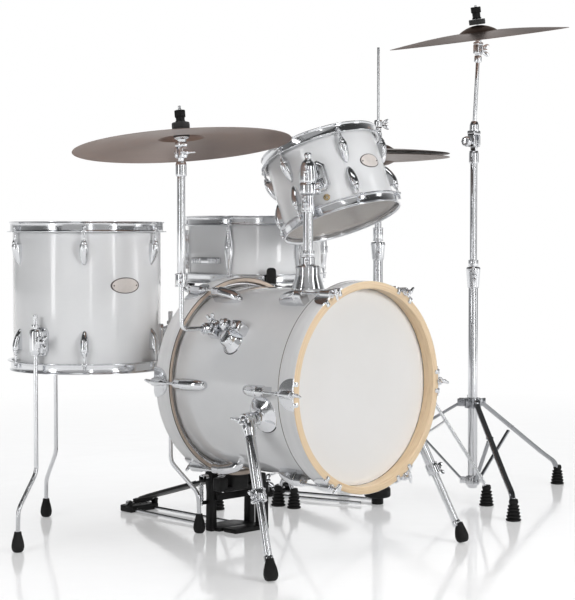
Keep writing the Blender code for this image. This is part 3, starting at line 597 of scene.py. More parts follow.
def tom_lug(r, a, z_nut, up):
    """A teardrop casing with its swivel nut; z_nut is the end near the hoop."""
    along = np.array([0, 0, -float(up)])
    out = polar(1, a)
    keys = [(0, 7.4, 15.6), (1.2, 8.8, 17.6), (7, 9.6, 18.6), (18, 9.6, 17.2), (29, 8.6, 13.4),
            (37, 7.0, 9.4), (43, 4.8, 5.6), (46, 2.4, 2.8), (47, 0.4, 0.6)]
    body = casing(keys, polar(r, a, z_nut), along, out)
    stem = polar(r + 11.0, a, z_nut)
    nut = turned([(0, -3), (6.8, -3), (6.8, 3.4), (5.2, 5), (5.2, 8.5), (0, 8.5)], stem, -along, 24)
    return [body, nut]


def film(r, edge, up):
    """A head: flat film, its crown over the bearing edge and the collar outside."""
    rows = [(0, 0.6), (r * 0.5, 0.6), (r - 8, 0.6), (r - 2.5, 0.9), (r + 0.6, -0.4), (r + 1.5, -3.2),
            (r + 1.5, -8), (r + 2.8, -8), (r + 3.0, -2.4), (r + 1.6, 0.8), (r - 2.0, 2.0), (r - 8, 1.5),
            (r * 0.5, 1.5), (0, 1.5)]
    return rev([(a, edge + up * b) for a, b in rows], 160)


def badge(name, body, r, a, z, at, turn, size=(36.0, 17.5)):
    """A plain oval badge bent to the shell, with a dark rim and two fixing dots."""
    def bent(scale, low, high, dx=0.0, wide=size[0], tall=size[1]):
        n, rings = 40, []
        for share, level in ((0.0, low), (1.0, low), (1.0, high - 0.25), (0.965, high), (0.0, high)):
            row = []
            for i in range(n):
                t = 2 * math.pi * i / n
                u, v = dx + wide * scale * share * math.cos(t), tall * scale * share * math.sin(t)
                row.append(polar(r + level, a + math.degrees(u / r), z + v))
            rings.append(row)
        return loft(rings)
    piece(name + "_rim", body, "badge_rim", placed(bent(1.0, -0.4, 1.1), at, turn))
    piece(name + "_face", body, "badge", placed(bent(0.9, 0.4, 1.5), at, turn))
    dots = [bent(1.0, 1.0, 2.0, s * size[0] * 0.78, 1.7, 1.7) for s in (-1, 1)]
    piece(name + "_pins", body, "badge_rim", placed(dots, at, turn))


def vent(name, body, r, a, z, at, turn=None):
    """A brass air hole's rim on the shell."""
    rim = [(2.2, -1), (7.4, -1), (7.4, 1.2), (5.4, 2.6), (3.2, 2.6), (2.2, 0.8)]
    piece(name, body, "brass", placed(turned(rim, polar(r, a, z), polar(1, a), 32, 0.6, True), at, turn))


def ribbed_foot(reach, tall):
    """A ribbed rubber stand foot about Z."""
    ribs = 5
    rows = [(0, 0), (15.5 * reach, 0)]
    step = (tall - 12) / ribs
    for i in range(ribs):
        wide = (18.3 - 1.15 * i) * reach
        rows += [(wide - 0.8, i * step + 1), (wide, i * step + 2.4), (wide - 0.4, i * step + 4.6),
                 (wide - 4.4, i * step + 6.0)]
    rows += [(11.0 * reach, tall - 9), (11.5 * reach, tall - 7), (9.5 * reach, tall), (0, tall)]
    return rev(soften(rows, 0.7), 40)


def bulb_foot(tall, wide):
    """A smooth rubber tip that swells towards the floor, about Z."""
    keys = [(0, 0), (wide * 0.55, 0.2), (wide * 0.86, 4), (wide, 11), (wide * 0.97, 18), (wide * 0.84, 27),
            (wide * 0.66, 36), (wide * 0.60, 40), (wide * 0.56, tall - 1), (wide * 0.5, tall), (0, tall)]
    return rev([(max(r, 0), z) for r, z in smooth(keys, 3)], 40)


# ---------------------------------------------------------------- bass drum
BASS_TURN = np.stack([[1, 0, 0], [0, 0, -1], [0, 1, 0]], axis=1).astype(float)
BASS_AT = np.array([0, 0, DRUM_MID])


def bass(shapes):
    return placed(shapes, BASS_AT, BASS_TURN)


def bass_piece(name, finish, *shapes, replaces=()):
    piece(name, "kit", finish, bass(shapes), replaces=replaces, centre=BASS_AT, turn=BASS_TURN)


def bass_lug(a, tail, nut):
    """A long-tailed cast lug and its swivel nut; tail and nut are places along the drum."""
    along = np.array([0, 0, math.copysign(1.0, nut - tail)])
    length = abs(nut - tail)
    shares = [(0, 1.5, 2), (0.03, 6, 10), (0.12, 9.4, 18), (0.3, 11.6, 25), (0.55, 12.6, 30.0),
              (0.7, 12.6, 32), (0.74, 12.2, 32.4), (0.76, 11.0, 30.6), (0.9, 11.0, 30.4), (1.0, 10.8, 30)]
    keys = [(s * length, w, h) for s, w, h in shares]
    body = casing(keys, polar(DRUM_R, a, tail), along, polar(1, a))
    end = polar(BASS_ROD_R, a, nut)
    return [body, turned([(0, -6), (6.4, -6), (6.4, 2), (5.2, 3.5), (0, 3.5)], end, along, 28)]


def claw(a, ahead, face):
    """A cast claw over the hoop: half-moon plate, ridge round the rod, and two hooks on the face."""
    rows, wide, deep = 12, 32.5, 41.0
    rings = []
    for i in range(rows + 1):
        v = i / rows
        half = max(wide * math.sqrt(max(1 - v**2.3, 0)), 4.0)
        z = face - ahead * deep * v
        crown = 1.6 * (1 - v) ** 0.5
        top = [polar(225.6 + crown * (1 - (j / 6) ** 2), a + math.degrees(j / 6 * half / 224), z)
               for j in range(-6, 7)]
        under = [polar(222.2, a + math.degrees(j / 6 * half / 224), z) for j in range(6, -7, -1)]
        rings.append(top + under)
    parts = [loft(rings)]
    stem = polar(BASS_ROD_R, a)
    axis = np.array([0, 0, float(ahead)])
    ridge = [(0, -46), (4.6, -46), (5.0, -36), (7.6, -28), (8.6, -12), (9.0, 0), (8.2, 2), (0, 2)]
    parts.append(turned(ridge, stem + (0, 0, face), axis, 32, 1.6))
    for s in (-1, 1):
        hook = a + math.degrees(s * 21.0 / 222)
        parts += block(polar(218.5, hook, face + ahead * 1.2), (14, 10, 3.4), facing(hook), 1.4, 3.4)
        parts += block(polar(224.4, hook, face - ahead * 3), (3.6, 11, 10), facing(hook), 1.2)
    return parts


def bass_rod(a, ahead, face, lug_end):
    """A tension rod with its washer, its boss and a T-handle."""
    stem = polar(BASS_ROD_R, a)
    axis = np.array([0, 0, float(ahead)])
    tip = stem + axis * (abs(face) + 14)
    parts = [rod(stem + (0, 0, lug_end), tip, 3.0, n=16)]
    parts.append(rod(stem + axis * (abs(face) + 1.5), stem + axis * (abs(face) + 4.5), 6.2, n=24))
    parts.append(rod(stem + axis * (abs(face) + 4.5), stem + axis * (abs(face) + 12), 4.4, n=24))
    bar = smooth([(-13, 1.6), (-10, 3.0), (-4, 3.6), (0, 4.4), (4, 3.6), (10, 3.0), (13, 1.6)], 3)
    profile = [(0, -13.4)] + [(r, z) for z, r in bar] + [(0, 13.4)]
    parts += placed(rev(profile, 20), stem + axis * (abs(face) + 14), basis(polar(1, a + 18)))
    return parts


def hoop_parts(wood):
    """The wood hoop, its dark edge line of painted shade where it meets the shell, and its lacquer: (radius,
    depth behind the face) profiles.
    """
    ply = [(206, 0), (221.8, 0), (221.8, 45), (213, 45), (213, 27.3), (206, 27.3)]
    # The dark ring at the hoop's drum-facing edge is painted shade for the gap against the shell.
    line = [(220.8, 44.0), (222.5, 44.0), (222.5, 44.9), (220.8, 44.9)]
    skin = [(221.0, 1.4), (222.3, 1.4), (222.3, 43.4), (221.0, 43.4)]
    return [("wood", wood, soften(ply, 1.6, True, 3)), ("line", "hoop_shade_line", soften(line, 0.3, True)),
            ("skin", "lacquer", soften(skin, 0.5, True))]


def bass_drum():
    wall = [(203, DRUM_FRONT), (203, DRUM_REAR), (196, DRUM_REAR), (196, DRUM_FRONT)]
    bass_piece("bass_shell", "white", rev(soften(wall, 1.2, True), 192, True), replaces=["bd_shell"])
    lugs = [[bass_lug(a, -50, BASS_NUT_FRONT), bass_lug(a, 68, BASS_NUT_REAR)] for a in BASS_LUG_ANGLES]
    bass_piece("bass_lugs", "chrome", lugs, replaces=["bd_shell"])
    for end, ahead, face, lug_end in (("front", -1, HOOP_FRONT, BASS_NUT_FRONT),
                                      ("rear", 1, HOOP_REAR, BASS_NUT_REAR)):
        node = "bd_hoop_" + end
        for part, finish, profile in hoop_parts("maple" if ahead < 0 else "shaded_maple"):
            bass_piece(f"bass_hoop_{end}_{part}", finish, lipped(profile, face, -ahead, 192),
                       replaces=[node])
        bass_piece(f"bass_claws_{end}", "chrome", [claw(a, ahead, face) for a in BASS_LUG_ANGLES],
                   [bass_rod(a, ahead, face, lug_end) for a in BASS_LUG_ANGLES], replaces=[node])
        edge = DRUM_FRONT if ahead < 0 else DRUM_REAR
        bass_piece(f"bass_head_{end}", "coated", film(DRUM_R - 0.6, edge, ahead),
                   replaces=["bd_head_" + end])
        fill = soften([(203.4, -4), (205.8, -4), (205.8, 1.0), (203.4, 1.0)], 0.4, True)
        bass_piece(f"bass_head_{end}_edge", "coated", lipped(fill, edge, ahead, 160))
        flesh = soften([(206, -9), (211.5, -9), (211.5, 1.5), (206, 1.5)], 1.6, True)
        bass_piece(f"bass_flesh_hoop_{end}", "steel", lipped(flesh, edge, ahead, 160))
    rail_tom_mount()
    crash_clamp()
    spurs()


def rail_tom_mount():
    """The flared post holder on top of the bass shell."""
    profile = [(36, 554), (36, 559), (34.6, 563), (27.4, 586), (26.6, 590), (26.6, 606), (25.4, 608.5),
               (17, 609.5), (15.2, 611), (15.2, 625), (14.4, 627), (11.6, 627), (11.6, 540), (20, 540),
               (20, 557)]
    mount = [hollow(profile, POST, 64, 1.0)]
    for z in (590.5, 604.5):
        mount.append(hollow([(26.2, z - 1.1), (27.4, z), (26.2, z + 1.1), (24, z)], POST, 64, 0.4))
    mount += wing(POST + (-12, -9, 618), (-0.8, -0.6, 0), (0, 0, 1), 4.4, 22, 7, 3.4)
    piece("tom_mount", "kit", "chrome", mount, replaces=["bd_shell"])
    gasket = [(28, 553), (36.5, 553), (36.5, 558), (28, 558)]
    piece("tom_mount_gasket", "kit", "rubber", hollow(gasket, POST, 64, 0.8))


ARM_AXIS = unit((-96.0, 20.0, 0))
CLAMP_AT = np.array([-184.0, 67.9, 477.0])


def crash_clamp():
    """The flared foot and three-part clamp on the bass shell that hold the crash arm."""
    def outward(x, z):
        return unit((x, 0, z - DRUM_MID))
    foot_at = np.array([-181.0, 13.0, 451.0])
    out = outward(foot_at[0], foot_at[2])
    flare = [(0, -4), (27, -4), (27, 0), (25.6, 3), (20, 12), (17, 22), (14, 27), (0, 28)]
    parts = [turned(flare, foot_at, out, 56, 2.0)]
    out = outward(-181, 482)
    turn = basis(out, (0, 1, 0))
    right = np.array([-179.0, -4, 479])
    middle = np.array([-181.0, 32, 484])
    left = np.array([-186.0, 62, 475])
    parts += block(right, (30, 25, 34), turn, 5, 7)
    parts.append(turned([(0, -16), (11, -16), (14.5, -13), (14.5, 6), (11, 13), (6, 16), (0, 17)], middle,
                        out, 8, 3.0))
    parts += block((middle + right) / 2 - out * 6, (44, 20, 18), turn, 5, 6)
    parts += block(left, (26, 34, 26), turn, 4, 5)
    parts += block(left + out * 8 + (0, 4, 8), (16, 22, 12), turn, 3, 4)
    for at in (right, middle):
        parts.append(turned([(0, 10), (6, 10), (6, 18), (4.4, 19), (4.4, 22), (0, 22)], at, out, 24, 0.9))
    parts.append(collar(CLAMP_AT + ARM_AXIS * 4, CLAMP_AT + ARM_AXIS * 26, 12.4, 5.6))
    parts.append(collar(CLAMP_AT + ARM_AXIS * 24, CLAMP_AT + ARM_AXIS * 30, 9.4, 5.6))
    parts += wing(left + (-6, 4, 16), (-0.2, 0.2, 0.9), (0, 1, 0), 5, 24, 9)
    piece("crash_clamp", "kit", "chrome", parts, replaces=["bd_shell"])
    gasket = turned([(24, -5), (28.4, -5), (28.4, -1.6), (24, -1.6)], foot_at,
                    outward(foot_at[0], foot_at[2]), 56, 0.8, True)
    piece("crash_clamp_gasket", "kit", "rubber", gasket)


def spurs():
    """The two folding spurs: shell bracket, sleeve with its clamps, rod and rubber tip."""
    for side, sx in (("left", -1), ("right", 1)):
        dish = [(0, -3), (39, -3), (39, 0), (36.5, 3), (27, 8.5), (18.5, 14), (15.4, 19), (15, 23), (0, 23)]
        hub = [turned(dish, (sx * 196, -95, 308), (sx, 0, -0.2), 64, 1.6)]
        hub.append(rod((sx * 210, -95, 303.5), (sx * 223.4, -95, 301.2), 12, n=40))
        piece(f"spur_{side}_bracket", "kit", "chrome", hub, replaces=["bd_shell"])
        rim = [(36, -4.5), (40.5, -4.5), (40.5, -1.8), (36, -1.8)]
        piece(f"spur_{side}_gasket", "kit", "rubber",
              turned(rim, (sx * 196, -95, 308), (sx, 0, -0.2), 64, 0.6, True))
        top, foot = np.array(SPUR_TOP[side]), np.array(SPUR_FOOT[side])
        way = unit(foot - top)
        end = top + way * 165
        parts = [collar(top + way * 2, end, 11.0, 8.8)]
        drum = [(0, -12.5), (13.4, -12.5), (15, -10), (15, -2), (14, -1), (14, 1), (15, 2), (15, 10),
                (13.4, 12.5), (0, 12.5)]
        parts.append(turned(drum, top, (sx, 0, -0.1), 48, 0.7))
        parts.append(turned([(0, 0), (14.4, 0), (14.4, 26), (13.0, 29), (12.2, 40), (0, 40)], top - way * 4,
                            way, 40, 1.4))
        parts += wing(top + (sx * 13, 0, 0), (sx, 0, 0), (0, 1, 0.3), 6.5, 34, 12)
        parts.append(collar(end - way * 17, end + way * 8, 14.0, 9.3))
        parts += placed([collar((0, 0, z), (0, 0, z + 2.2), 14.9, 13.4) for z in (-16.5, -5, 5.5)], end,
                        basis(way))
        parts += wing(end - way * 4 + (sx * 12, 0, 0), (sx, -0.3, 0), way, 5, 26, 10)
        piece(f"spur_{side}_tube_detail", f"spur_{side}", "chrome", parts, replaces=[f"spur_{side}_tube"])
        low = [rod(top + way * 110, foot - way * 2, 8.0, n=28)]
        low.append(rod(foot - way * 42, foot - way * 30, 9.4, 10.4, n=28))
        body = f"spur_{side}_foot"
        piece(f"spur_{side}_rod_detail", body, "chrome", low, replaces=[f"spur_{side}_rod"])
        tip = placed(bulb_foot(44, 14.8), foot + (0, 0, -8.0), basis((-way * (1, 1, 1)) * (0.5, 0.5, 1)))
        piece(f"spur_{side}_tip", body, "rubber", tip, replaces=[f"spur_{side}_rod"])


# ---------------------------------------------------------------- kick pedal and riser
def riser():
    """The post under the bass drum's front, its cross bar and its three pads."""
    parts = [plate(soften([(-14, 184), (92, 184), (92, 228), (-14, 228)], 6, True, 4), 0, 10, 2)]
    for centre, size in (((84, 202, 55), (12, 34, 104)), ((20, 196, 104), (140, 26, 10))):
        parts += block(centre, size, None, 2.5)
    for x, z, wide, deep, tall in ((0, 118, 50, 30, 33), (-50, 116, 26, 26, 30), (62, 116, 40, 26, 30)):
        parts += block((x, 196, z), (wide, deep, tall), None, 4, 6)
    piece("riser_body", "kit", "black", parts, replaces=["riser"])
    screw = wing((90, 200, 106), (1, 0, 0.1), (0, 0.4, 1), 6, 30, 16)
    screw += [rod((70, 200, 105), (92, 200, 106), 5, n=24)]
    piece("riser_wing", "kit", "chrome", screw, replaces=["riser"])


def local_pedal(shapes):
    return placed(shapes, PEDAL)


def bass_pedal():
    """The kick pedal's frame, posts, spring and bars."""
    base = [(-58, -24), (58, -24), (58, 8), (44, 40), (-44, 40), (-58, 8)]
    parts = [plate(soften(base, 7, True, 4), 0, 9, 2.4)]
    for s in (-1, 1):
        side = [(-11, 0), (11, 0), (9, 90), (12, 112), (12, 138), (6, 144), (-6, 144), (-12, 138),
                (-12, 112), (-9, 90)]
        parts += placed(plate(soften(side, 4, True, 4), -8.5, 8.5, 2.4), (s * 59.5, 0, 0), ON_SIDE)
        parts.append(collar((s * 50, 0, 126), (s * 69, 0, 126), 12.4, 7.4))
        parts += block((s * 40, 320, 20), (10, 16, 18), None, 2.5)
    parts += block((0, -12, 78), (110, 8, 16), None, 2.4)
    heel = [(-44, 308), (44, 308), (44, 350), (36, 358), (-36, 358), (-44, 350)]
    parts.append(plate(soften(heel, 5, True, 4), 1, 16, 2.6))
    parts += [rod((-25 + 10 * i, 350, 15.4), (-25 + 10 * i, 330, 15.8), 1.6, n=10) for i in range(6)]
    parts += [rod((-64, 6, 66), (-85, 8, 66), 4.5, n=20)]
    piece("pedal_frame_detail", "kit", "black", local_pedal(parts), replaces=["pedal_frame"])
    steel = [tube_path([(s * 34, 30, 5), (s * 33, 170, 6), (s * 30, 316, 7)], 3.6, 20) for s in (-1, 1)]
    steel += [rod((-84, 8, 60), (-84, 8, 70), 4.2, n=20), rod((-84, 8, 62), (-84, 8, 112), 1.8, n=14)]
    steel.append(coil((-84, 8, 70), (-84, 8, 108), 5.2, 1.1, 11))
    steel += [rod((s * 45, 320, 24), (s * 35, 320, 24), 6.2, n=24) for s in (-1, 1)]
    piece("pedal_steel", "kit", "chrome", local_pedal(steel), replaces=["pedal_frame"])
    pedal_board()
    pedal_beater()


def board_shape(length, tread):
    """A tapered footboard along +Y, with ribs and edge lips on its tread side: +Z if tread is 1, -Z if -1."""
    side = [(28, 6), (42, 60), (45, 150), (40, 250), (26, length)]
    k = length / 295.4
    outline = [(x, y * k) for x, y in side]
    outline = outline + [(-x, y) for x, y in outline[::-1]]
    low, high = sorted((tread * 8.0, tread * 2.6))
    parts = [plate(soften(outline, 14, True, 5), low, high, 1.6)]
    top = tread * 8.2
    for i in range(9):
        y = (50 + 22 * i) * k
        half = 28 if i < 7 else 24
        parts.append(rod((-half, y, top), (half, y, top), 2.0, n=12))
    for s in (-1, 1):
        parts.append(tube_path([(s * 24, 22 * k, top), (s * 35, 64 * k, top), (s * 38, 150 * k, top),
                                (s * 33, 245 * k, top)], 2.0, 20, 12))
    return parts


def pedal_board():
    heel, toe = PEDAL + (0, 320, 24), PEDAL + (0, 32, 108)
    along = unit(toe - heel)
    turn = np.stack([[1, 0, 0], along, np.cross([1, 0, 0], along)], axis=1)
    length = np.linalg.norm(toe - heel)
    parts = placed(board_shape(length, -1), heel, turn)
    parts += placed(block((0, 5, -3.5), (54, 14, 11), None, 2.4), heel, turn)
    parts += placed(block((0, length - 8, -9), (18, 18, 12), None, 2.4), heel, turn)
    piece("pedal_board_detail", "pedal_board", "black", parts, replaces=["pedal_board"])
    pin = [rod(heel - (50, 0, 0), heel + (50, 0, 0), 2.9, n=16)]
    start = toe + (0, -4, -4)
    for i in range(4):
        at = start + (0, -1.5 * i, -5.0 * i)
        pin += block(at, (7 if i % 2 else 4.4, 2.4, 6.6), None, 0.9)
    piece("pedal_chain", "pedal_board", "steel", pin, replaces=["pedal_board"])


def pedal_beater():
    """The axle with its cam, shaft and felt beater."""
    back = math.radians(40)
    shaft = np.array([0, math.sin(back), math.cos(back)])
    mid = AXLE + (18, 0, 0)
    dark = [turned([(0, -7), (19, -7), (21, -5), (19, -2), (19, 2), (21, 5), (19, 7), (0, 7)],
                   AXLE + (0, 4, 2), (1, 0, 0), 40, 0.9)]
    dark += block(AXLE + shaft * 10 + (18, 0, 0), (20, 18, 26), basis(shaft), 3)
    dark += block(AXLE + (-84, 2, -4), (8, 18, 14), None, 2)
    piece("beater_hub", "pedal_beater", "black", dark, replaces=["pedal_beater"])
    bright = [rod(AXLE - (88, 0, 0), AXLE + (72, 0, 0), 6.3, n=28),
              rod(mid + shaft * 4, mid + shaft * 168, 3.2, n=18)]
    bright += [rod(mid + shaft * 150, mid + shaft * 158, 7, n=24)]
    piece("beater_shaft", "pedal_beater", "chrome", bright, replaces=["pedal_beater"])
    head = [(0, -22), (17, -22), (23, -19), (25, -12), (25, 10), (23, 18), (17, 22), (0, 22)]
    felt = turned(head, mid + shaft * 180, np.cross((1, 0, 0), shaft), 48, 3)
    piece("beater_felt", "pedal_beater", "felt", felt, replaces=["pedal_beater"])


# ---------------------------------------------------------------- rack tom and its holder
TOM_AXIS = unit((-0.051, 0.354, 0.934))
TOM_R, TOM_LOW, TOM_HIGH = 127.0, -83.0, 83.0
TOWARD_POST = unit((POST - TOM) * (1, 1, 0))
TOM_TURN = basis(TOM_AXIS, TOWARD_POST)
TOM_LUGS = [37.5 + 60 * i for i in range(6)]
TOM_NUT_DROP = 32


def drum(prefix, body, at, turn, r, low, high, lugs, lug_of, bottom_film, thick=6.0, nodes="rt",
         nut_drop=SNARE_NUT_DROP):
    """A shell with its inner ply, lugs, hoops and heads, in the drum's own frame."""
    def put(name, finish, *shapes, replaces=()):
        piece(name, body, finish, placed(shapes, at, turn), replaces=replaces, centre=at, turn=turn)
    wall = soften([(r, low), (r, high), (r - 1.2, high), (r - 1.2, low)], 0.5, True)
    put(f"{prefix}_wrap", "white", rev(wall, 192, True), replaces=[nodes + "_shell"])
    ply = soften([(r - 1.1, low), (r - 1.1, high), (r - thick, high - 4), (r - thick, low + 4)], 1.0, True)
    put(f"{prefix}_ply", "inner_ply", rev(ply, 160, True), replaces=[nodes + "_shell"])
    put(f"{prefix}_lugs", "chrome", [lug_of(a) for a in lugs], replaces=[nodes + "_shell"])
    for end, edge, up, finish in (("top", high, 1, "coated"), ("bottom", low, -1, bottom_film)):
        lug_end = edge - up * nut_drop
        put(f"{prefix}_hoop_{end}", "chrome", flanged_hoop(r, edge, up, lugs, lug_end + up * 0.6),
            replaces=[f"{nodes}_hoop_{end}"])
        put(f"{prefix}_head_{end}", finish, film(r, edge, up), replaces=[f"{nodes}_head_{end}"])
        flesh = soften([(r + 1.6, -9), (r + 3.1, -9), (r + 3.1, -3), (r + 1.6, -3)], 0.4, True)
        put(f"{prefix}_flesh_{end}", "steel", lipped(flesh, edge, up, 128))


def rack_tom():
    def lugs(a):
        return [tom_lug(TOM_R, a, TOM_HIGH - TOM_NUT_DROP, 1),
                tom_lug(TOM_R, a, TOM_LOW + TOM_NUT_DROP, -1)]
    drum("rack_tom", "rack_tom", TOM, TOM_TURN, TOM_R, TOM_LOW, TOM_HIGH, TOM_LUGS, lugs, "clear",
         nut_drop=TOM_NUT_DROP)
    badge("rack_tom_badge", "rack_tom", TOM_R, 66.0, 3.0, TOM, TOM_TURN, (30.0, 16.0))
    vent("rack_tom_vent", "rack_tom", TOM_R, 8.2, -57.6, TOM, TOM_TURN)
    tom_bracket()
    tom_post()
    tom_tilter()


def tom_bracket():
    """The eight-sided clamp on the rack tom's shell, and the rod to the tilter."""
    shape = [(-11, -36), (11, -36), (23, -23), (23, 23), (11, 36), (-11, 36), (-23, 23), (-23, -23)]
    back = placed(plate(soften(shape, 3, True, 3), -2, 4, 1.4), (TOM_R, 0, -4), ON_SIDE)
    front = placed(plate(soften([(x * 0.84, y * 0.86) for x, y in shape], 4, True, 3), 3, 12, 3),
                   (TOM_R, 0, -4), ON_SIDE)
    ribs = [rod((TOM_R + 12, y, -32), (TOM_R + 12, y, -10), 2.4, n=14) for y in (-10, -5, 0, 5, 10)]
    socket = [turned([(0, 0), (14.5, 0), (14.5, 8), (12.5, 11), (12.5, 17), (0, 17)], (TOM_R + 9, 0, 4),
                     (1, 0, 0), 40, 1.4)]
    bolts = [rod((TOM_R + 3, y, z), (TOM_R + 6.5, y, z), 3.4, n=18) for y in (-13, 13) for z in (-27, 19)]
    plates = placed([back, front, ribs, bolts], (0, 0, -6), facing(5.5))
    parts = placed([plates, socket], TOM, TOM_TURN)
    socket_at = TOM + TOM_TURN @ np.array([TOM_R + 2, 0, 4])
    way = unit(socket_at - EGG)
    parts.append(rod(EGG + way * 21.5, socket_at, 8, n=32))
    parts += wing(TOM + TOM_TURN @ np.array([TOM_R + 14, -8, -24]), TOM_TURN @ np.array([0.8, -0.6, -0.2]),
                  TOM_TURN[:, 2], 4.5, 24, 8, 3.6)
    piece("tom_bracket", "rack_tom", "chrome", parts, replaces=["rt_shell"])


def tom_post():
    """The tube in the bass drum's mount, with its clamp and memory collar."""
    parts = [sleeve(POST, 545, 758, 11.0, 6.0)]
    parts.append(sleeve(POST, 724, 760, 14.2, 8.2))
    parts += [sleeve(POST, z, z + 3, 15.0, 13.4) for z in (724.5, 755.5)]
    parts.append(sleeve(POST, 629, 641, 14.6, 8.8))
    parts += block(POST + (-13, -9, 635), (12, 10, 9), facing(-145), 1.6)
    parts += wing(POST + (-11, -6, 742), (-1, -0.4, 0), (0, 0, 1), 5, 26, 11)
    piece("tom_post_detail", "tom_post", "chrome", parts, replaces=["tom_post"])
    piece("tom_post_insert", "tom_post", "nylon", sleeve(POST, 752, 761.5, 8.4, 5.6))


def tom_tilter():
    """The egg-shaped ball clamp on the post."""
    egg = [(0, 761), (17.6, 761), (19.8, 764), (19.8, 782), (18.6, 784.5), (17.8, 786), (17.8, 788),
           (18.8, 790), (18.8, 800), (18.2, 812), (16.6, 822), (13.2, 831), (8.6, 835), (7.2, 836.5),
           (7.2, 842), (8.6, 843), (8.6, 848), (6, 851), (0, 851)]
    parts = [turned(egg, POST, n=56, reach=1.4), upright(POST, 705, 764, 5.4, n=28)]
    way = unit(TOM + TOM_TURN @ np.array([TOM_R + 2, 0, 4]) - EGG)
    parts.append(turned([(0, 8), (14.4, 8), (14.4, 17), (12, 20.5), (0, 20.5)], EGG, way, 40, 1.2))
    parts += wing(EGG + (-12, -9, -2), (-0.8, -0.6, 0), (0, 0, 1), 5, 28, 14)
    parts += wing(POST + (4, -14, 776), (0.3, -1, 0), (0, 0, 1), 4.5, 20, 6, 3.4)
    piece("tom_tilter_detail", "tom_tilter", "chrome", parts, replaces=["tom_tilter"])


# ---------------------------------------------------------------- cymbals
def cymbal_shape(radius, bell, bell_high, rise, hole, thick=1.2):
    """A bowed disc with a bell: its hole is at the origin and its edge lies below."""
    def top(r):
        if r < bell:
            return bell_high * math.cos(math.pi / 2 * r / bell) ** 0.8
        return -rise * ((r - bell) / (radius - bell)) ** 1.5
    radii = list(np.linspace(hole, bell * 0.99, 14)) + list(np.linspace(bell, radius - 1.5, 56))
    groove = 0.16
    upper = [(r, top(r) - bell_high + groove * math.sin(r * 1.9)) for r in radii]
    thin = [thick * (1 - 0.45 * r / radius) for r, _ in upper]
    rim = [(radius - 0.3, top(radius) - bell_high - 0.1), (radius, top(radius) - bell_high - 0.5),
           (radius - 0.3, top(radius) - bell_high - 0.9)]
    lower = [(r, z - t) for (r, z), t in zip(upper, thin)][::-1]
    return rev(upper + rim + lower, 176, True)


def cymbal_piece(name, body, node, at, axis, *size, flip=1, finish="bronze"):
    """A cymbal with its hole at a place; flip turns it over."""
    turn = basis(axis)
    shape = placed(cymbal_shape(*size), at, turn, (1, 1, flip))
    piece(name, body, finish, shape, replaces=[node], centre=at, turn=turn, crease=60)


def cymbal_seat(name, body, at, axis, node, wide):
    """The felt and cup under a cymbal and the threaded stem through it."""
    turn = basis(axis)
    felt = [(3, -15), (wide, -15), (wide, -5), (3, -5)]
    piece(name + "_felt", body, "felt", placed(rev(soften(felt, 1.8, True), 40, True), at, turn))
    cup = [(0, -25.6), (8.5, -25.6), (9.5, -20.6), (wide - 1.5, -17.6), (wide - 1.5, -15.2), (0, -15.2)]
    stem = [placed(rev(soften(cup, 0.7), 40), at, turn),
            placed(rod((0, 0, -20), (0, 0, 50), 3.0, n=18), at, turn)]
    stem += placed([collar((0, 0, z), (0, 0, z + 0.8), 3.4, 2.6, 18, 0.3) for z in np.arange(40, 50, 1.6)],
                   at, turn)
    piece(name + "_seat", body, "chrome", stem, replaces=[node])


def cymbal_nut(name, body, node, at, axis, wide, top):
    """The black felt block and quick-release nut over a cymbal."""
    turn = basis(axis)
    felt = [(4.2, 1.4), (wide, 1.4), (wide + 0.4, 8), (wide, 15), (4.2, 15)]
    piece(name + "_felt", body, "felt", placed(rev(soften(felt, 1.4, True), 44, True), at, turn),
          replaces=[node])
    grip = []
    for z0, z1, r in ((15.3, 19, wide * 0.62), (top - 15, top, wide * 0.66)):
        outline = [polar(r * (1 if i % 2 else 0.9), i * 22.5)[:2] for i in range(16)]
        grip += placed(plate(soften(outline, 2.0, True, 3), z0, z1, 1.6), at, turn)
    grip += placed(collar((0, 0, 17), (0, 0, top - 10), wide * 0.5, 4.2), at, turn)
    piece(name + "_grip", body, "black", grip, replaces=[node])


